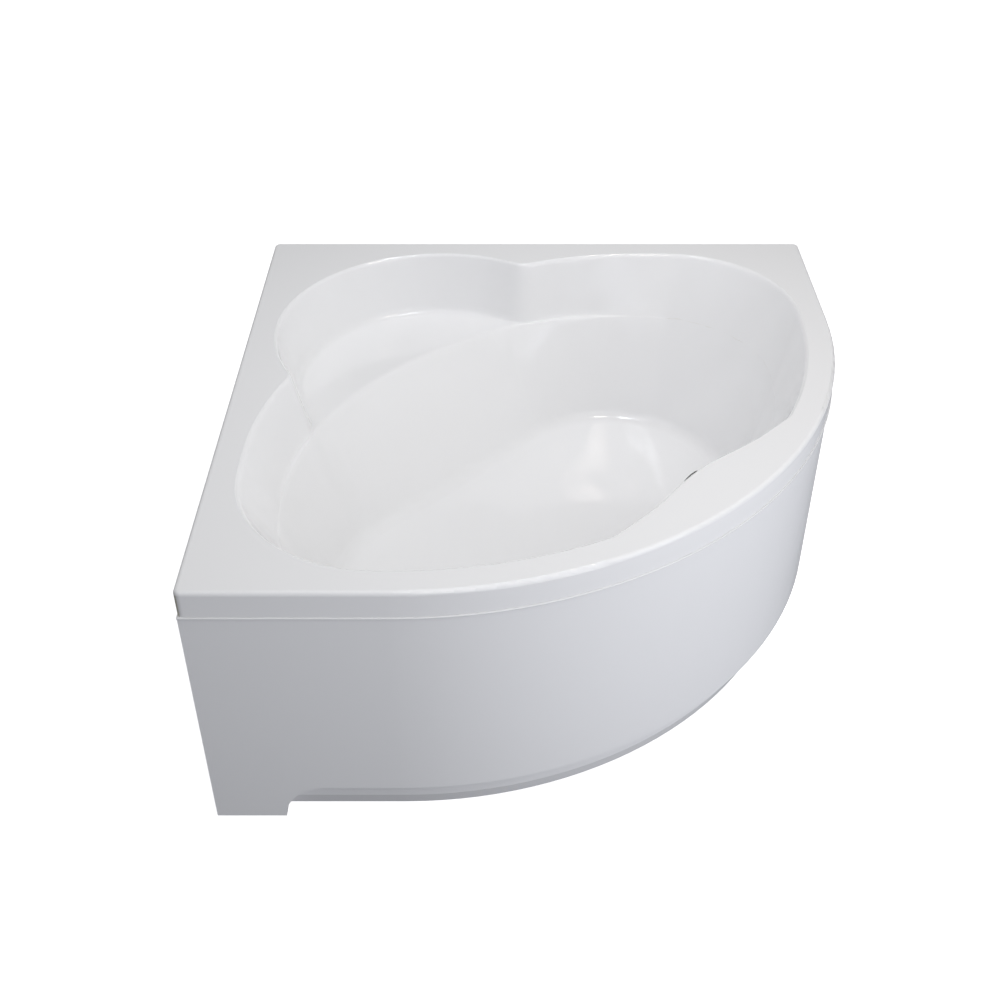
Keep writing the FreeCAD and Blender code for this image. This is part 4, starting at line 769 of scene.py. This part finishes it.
@dataclass
class Fixings:
    """Panel clips, stays and wall brackets, with the screws that hold them."""

    front_center: float = -0.424264
    clip_face: float = 0.9614
    clip_level: float = 0.612
    clip_foot_radius: float = 0.9764
    clip_foot_level: float = 0.5712
    clip_step: float = math.radians(15)
    stay_along: float = 0.100736
    stay_across: float = 0.220
    stay_level: float = 0.167
    tab_along: float = 0.5079
    tab_level: float = 0.064
    bracket_wall: float = 0.680
    bracket_offset: float = 0.350
    bracket_level: float = 0.577
    head_radius: float = 0.0042
    head_height: float = 0.0026
    slot_width: float = 0.0011
    slot_length: float = 0.0052
    slot_depth: float = 0.0014
    slot_taper: float = 0.8
    slot_mouth: float = 0.95
    dome: tuple[tuple[float, float], ...] = ((0.78, 0.85), (0.95, 0.5), (1.0, 0.15), (1.0, 0.0))

    def _screw(self, shape: bmesh.types.BMesh, place: Matrix) -> None:
        """Add one domed screw head with a cross recess, standing on z = 0 of a frame."""
        reach, width, depth = self.slot_length / 2, self.slot_width / 2, self.slot_depth
        height, radius = self.head_height, self.head_radius
        cross = [(reach, -width), (reach, width), (width, width), (width, reach), (-width, reach),
                 (-width, width), (-reach, width), (-reach, -width), (-width, -width), (-width, -reach),
                 (width, -reach), (width, -width)]
        taper = self.slot_taper
        top = [shape.verts.new(place @ Vector((x, y, height * self.slot_mouth))) for x, y in cross]
        low = [shape.verts.new(place @ Vector((x * taper, y * taper, height - depth))) for x, y in cross]
        turns = [math.atan2(y, x) for x, y in cross]
        rings = []
        for share, level in self.dome:
            wide = radius * share
            rings.append([shape.verts.new(place @ Vector((wide * math.cos(turn), wide * math.sin(turn),
                                                          height * level)))
                          for turn in turns])
        loops = [low, top, *rings]
        for inner, outer in zip(loops, loops[1:]):
            for step in range(len(cross)):
                after = (step + 1) % len(cross)
                shape.faces.new((inner[step], inner[after], outer[after], outer[step]))
        shape.faces.new(low)
        shape.faces.new(rings[-1])

    def _spots(self) -> Iterable[tuple[Vector, Vector]]:
        """Place and direction of every screw head."""
        down = Vector(Axis.DOWN.value)
        center = diagonal(self.front_center, 0.0)
        for count in range(-2, 3):
            turn = count * self.clip_step
            outward = diagonal(math.cos(turn), math.sin(turn))
            yield center + outward * self.clip_face + Vector((0, 0, self.clip_level)), -outward
            yield center + outward * self.clip_foot_radius + Vector((0, 0, self.clip_foot_level)), down
        for across in (-self.stay_across, self.stay_across):
            yield diagonal(self.stay_along, across, self.stay_level), down
            yield diagonal(self.tab_along, across, self.tab_level), diagonal(-1.0, 0.0)
        for shift in (-self.bracket_offset, self.bracket_offset):
            yield Vector((shift, self.bracket_wall, self.bracket_level)), down
            yield Vector((-self.bracket_wall, shift, self.bracket_level)), down

    def dress(self) -> None:
        """Zinc plate on the steel, and cross-headed screws."""
        for node in ("panel_clips", "stay_left", "stay_right", "wall_brackets"):
            dress(node, ZINC)
        shape = bmesh.new()
        for place, way in self._spots():
            self._screw(shape, pointing(place, way))
        mesh = to_mesh("fixing_screws", shape, smooth=False)
        new_piece("fixing_screws", mesh, "bath", ZINC)


@dataclass
class WasteSet:
    """Drain, trap and outlet under the floor."""

    plastic: tuple[str, ...] = ("waste_body", "trap_bend", "trap_nut", "outlet_nut", "outlet_tail")
    rubber: tuple[str, ...] = ("drain_gasket", "plug_seal")
    metal: tuple[str, ...] = ("drain_flange", "drain_plug")

    def dress(self) -> None:
        """White plastic pipes, black rubber and dark chrome."""
        for node in self.plastic:
            dress(node, WHITE_PLASTIC)
        for node in self.rubber:
            dress(node, RUBBER)
        for node in self.metal:
            dress(node, DARK_CHROME)


@dataclass
class OverflowSet:
    """Overflow in the front wall, its turning knob and the pipe to the drain."""

    plastic: tuple[str, ...] = ("overflow_body", "overflow_pipe", "overflow_nut_upper",
                                "overflow_nut_lower")
    metal: tuple[str, ...] = ("overflow_plate", "overflow_knob")

    def dress(self) -> None:
        """White plastic pipes, a black gasket and dark chrome."""
        for node in self.plastic:
            dress(node, WHITE_PLASTIC)
        dress("overflow_gasket", RUBBER)
        for node in self.metal:
            dress(node, DARK_CHROME)


# Studio, with sizes in metres, powers in watts and angles of places in degrees

PLAIN_LIGHT: Rgb = (1.0, 1.0, 1.0)
COOL_LIGHT: Rgb = (0.98, 1.0, 1.08)
WARM_LIGHT: Rgb = (1.0, 0.995, 0.955)
WARM_LAMP: Rgb = (1.0, 0.9, 0.82)
COOL_LAMP: Rgb = (0.93, 0.96, 1.0)
ROUND_REACH = 2.0
ROUND_TARGET: Place = (0.0, 0.0, 0.35)
OVERHEAD_LEVEL = 2.4


@dataclass(frozen=True)
class Softbox:
    """One rectangular studio light."""

    name: str
    place: Place
    target: Place
    size: tuple[float, float]
    power: float
    color: Rgb = PLAIN_LIGHT

    def switch_on(self) -> None:
        """Hang the light in the scene, hidden from the camera itself."""
        lamp = bpy.data.lights.new(self.name, "AREA")
        lamp.shape = "RECTANGLE"
        lamp.size, lamp.size_y = self.size
        lamp.energy = self.power
        lamp.color = self.color
        holder = bpy.data.objects.new(self.name, lamp)
        bpy.context.scene.collection.objects.link(holder)
        holder.location = self.place
        way = Vector(self.target) - Vector(self.place)
        holder.rotation_euler = way.to_track_quat("-Z", "Y").to_euler()
        holder.visible_camera = False
        log.info("light %s", self.name)


def softbox_round(name: str, azimuth: float, height: float, side: float, power: float,
                  color: Rgb = PLAIN_LIGHT) -> Softbox:
    """A square softbox on the ring of stands round the bath.

    Args:
        name: name of the light.
        azimuth: degrees from +X, counterclockwise from above.
        height: metres above the floor.
        side: metres along each side.
        power: watts.
        color: colour of the light.

    Returns:
        The softbox, turned to the middle of the bath.
    """
    turn = math.radians(azimuth)
    place = (ROUND_REACH * math.cos(turn), ROUND_REACH * math.sin(turn), height)
    return Softbox(name, place, ROUND_TARGET, (side, side), power, color)


def softbox_above(name: str, x: float, y: float, size: tuple[float, float], power: float,
                  color: Rgb) -> Softbox:
    """A softbox over the bath that looks straight down.

    Args:
        name: name of the light.
        x: its place along x.
        y: its place along y.
        size: its lengths along x and y.
        power: watts.
        color: colour of the light.

    Returns:
        The softbox.
    """
    return Softbox(name, (x, y, OVERHEAD_LEVEL), (x, y, 0.0), size, power, color)


@dataclass(frozen=True)
class SkyGlow:
    """One wide soft patch of light in the surroundings."""

    azimuth: float
    elevation: float
    strength: float
    color: Rgb = PLAIN_LIGHT
    spread: float = 4.0

    def way(self) -> Vector:
        """Direction of the patch's middle."""
        turn, rise = math.radians(self.azimuth), math.radians(self.elevation)
        return Vector((math.cos(rise) * math.cos(turn), math.cos(rise) * math.sin(turn), math.sin(rise)))


@dataclass
class Studio:
    """Pale floor, soft light and the camera."""

    floor_side: float = 40.0
    floor_color: Rgb = (0.9, 0.9, 0.9)
    floor_glow: float = 0.75
    floor_roughness: float = 0.9
    floor_specular: float = 0.1
    backdrop: float = 1.1
    glows: tuple[SkyGlow, ...] = (
        SkyGlow(0, -25, 0.459, COOL_LIGHT),
        SkyGlow(45, -25, 0.444, COOL_LIGHT),
        SkyGlow(315, -25, 0.596, COOL_LIGHT),
        SkyGlow(90, 10, 0.15),
        SkyGlow(135, 10, 0.35),
        SkyGlow(180, 10, 0.15),
        SkyGlow(0, 45, 0.433, WARM_LIGHT),
        SkyGlow(225, 45, 0.392, COOL_LIGHT),
        SkyGlow(270, 65, 0.448, spread=20.0),
        SkyGlow(0, 90, 0.411),
    )
    camera_place: Place = (-0.09794, -2.46332, 2.23054)
    camera_tilt: float = math.radians(52.072)
    lens: float = 46.61
    sensor: float = 36.0
    lights: tuple[Softbox, ...] = (
        softbox_round("low_left", 255, 0.7, 0.8, 0.95, COOL_LIGHT),
        softbox_round("low_middle", 285, 0.7, 0.8, 1.8, COOL_LIGHT),
        softbox_round("low_right", 315, 0.7, 0.8, 3.0, COOL_LIGHT),
        softbox_round("high_middle", 285, 1.8, 1.6, 4.5),
        softbox_round("high_right", 315, 1.8, 1.6, 7.6),
        softbox_above("overhead_fill", -0.4, -0.2, (1.0, 1.0), 2.6, COOL_LIGHT),
        softbox_above("overhead_warm", 0.52, 0.07, (0.20, 0.35), 3.7, WARM_LAMP),
        softbox_above("overhead_cool", 0.08, 0.28, (0.28, 0.45), 6.0, COOL_LAMP),
    )

    def _lay_floor(self) -> None:
        """A large pale floor with a slight glow, so that it meets the white surroundings."""
        half = self.floor_side / 2
        shape = bmesh.new()
        shape.faces.new([shape.verts.new((x * half, y * half, 0.0))
                         for x, y in ((-1, -1), (1, -1), (1, 1), (-1, 1))])
        floor = bpy.data.objects.new("floor", to_mesh("floor", shape, smooth=False))
        bpy.context.scene.collection.objects.link(floor)
        pale = bpy.data.materials.new("pale_floor")
        pale.use_nodes = True
        shader = pale.node_tree.nodes["Principled BSDF"]
        shader.inputs["Base Color"].default_value = (*self.floor_color, 1.0)
        shader.inputs["Roughness"].default_value = self.floor_roughness
        shader.inputs["Specular IOR Level"].default_value = self.floor_specular
        shader.inputs["Emission Color"].default_value = (1.0, 1.0, 1.0, 1.0)
        shader.inputs["Emission Strength"].default_value = self.floor_glow
        floor.data.materials.append(pale)
        floor.visible_diffuse = False
        floor.visible_glossy = False

    def _hang_sky(self) -> None:
        """Surroundings made of wide soft glows, plain white where the camera sees them."""
        world = bpy.data.worlds.new("surroundings")
        bpy.context.scene.world = world
        world.use_nodes = True
        tree = Tree(world.node_tree)
        back = world.node_tree.nodes["Background"]
        place = tree.add("TexCoord")
        total = None
        for glow in self.glows:
            facing = tree.add("VectorMath", operation="DOT_PRODUCT")
            facing.inputs[1].default_value = glow.way()
            lit = tree.add("Math", operation="MAXIMUM")
            lit.inputs[1].default_value = 0.0
            soft = tree.add("Math", operation="POWER")
            soft.inputs[1].default_value = glow.spread
            sum_up = tree.add("VectorMath", operation="MULTIPLY_ADD")
            sum_up.inputs[1].default_value = glow.strength * Vector(glow.color)
            sum_up.inputs[2].default_value = (0.0, 0.0, 0.0)
            tree.join(place.outputs["Generated"], facing.inputs[0])
            tree.join(facing.outputs["Value"], lit.inputs[0])
            tree.join(lit.outputs["Value"], soft.inputs[0])
            tree.join(soft.outputs["Value"], sum_up.inputs[0])
            if total is not None:
                tree.join(total, sum_up.inputs[2])
            total = sum_up.outputs["Vector"]
        path = tree.add("LightPath")
        seen = tree.add("Mix", data_type="VECTOR")
        seen.inputs["B"].default_value = (self.backdrop, self.backdrop, self.backdrop)
        tree.join(path.outputs["Is Camera Ray"], seen.inputs["Factor"])
        tree.join(total, seen.inputs["A"])
        tree.join(seen.outputs["Result"], back.inputs["Color"])

    def _set_camera(self) -> None:
        """The camera at the place and angle of the picture."""
        lens = bpy.data.cameras.new("camera")
        lens.lens = self.lens
        lens.sensor_width = self.sensor
        camera = bpy.data.objects.new("camera", lens)
        bpy.context.scene.collection.objects.link(camera)
        camera.location = self.camera_place
        camera.rotation_euler = (self.camera_tilt, 0.0, 0.0)
        bpy.context.scene.camera = camera

    def build(self) -> None:
        """Set up the whole studio."""
        bpy.context.scene.view_settings.view_transform = "Standard"
        self._lay_floor()
        self._hang_sky()
        for light in self.lights:
            light.switch_on()
        self._set_camera()


def main() -> None:
    """Dress every sub-assembly and set up the studio."""
    logging.basicConfig(level=logging.INFO, format="%(name)s %(message)s")
    for assembly in (Moulding(), FrontPanel(), Timbers(), SteelFrame(), Legs(), Fixings(), WasteSet(),
                     OverflowSet()):
        assembly.dress()
    Studio().build()


if __name__ == "__main__":
    main()
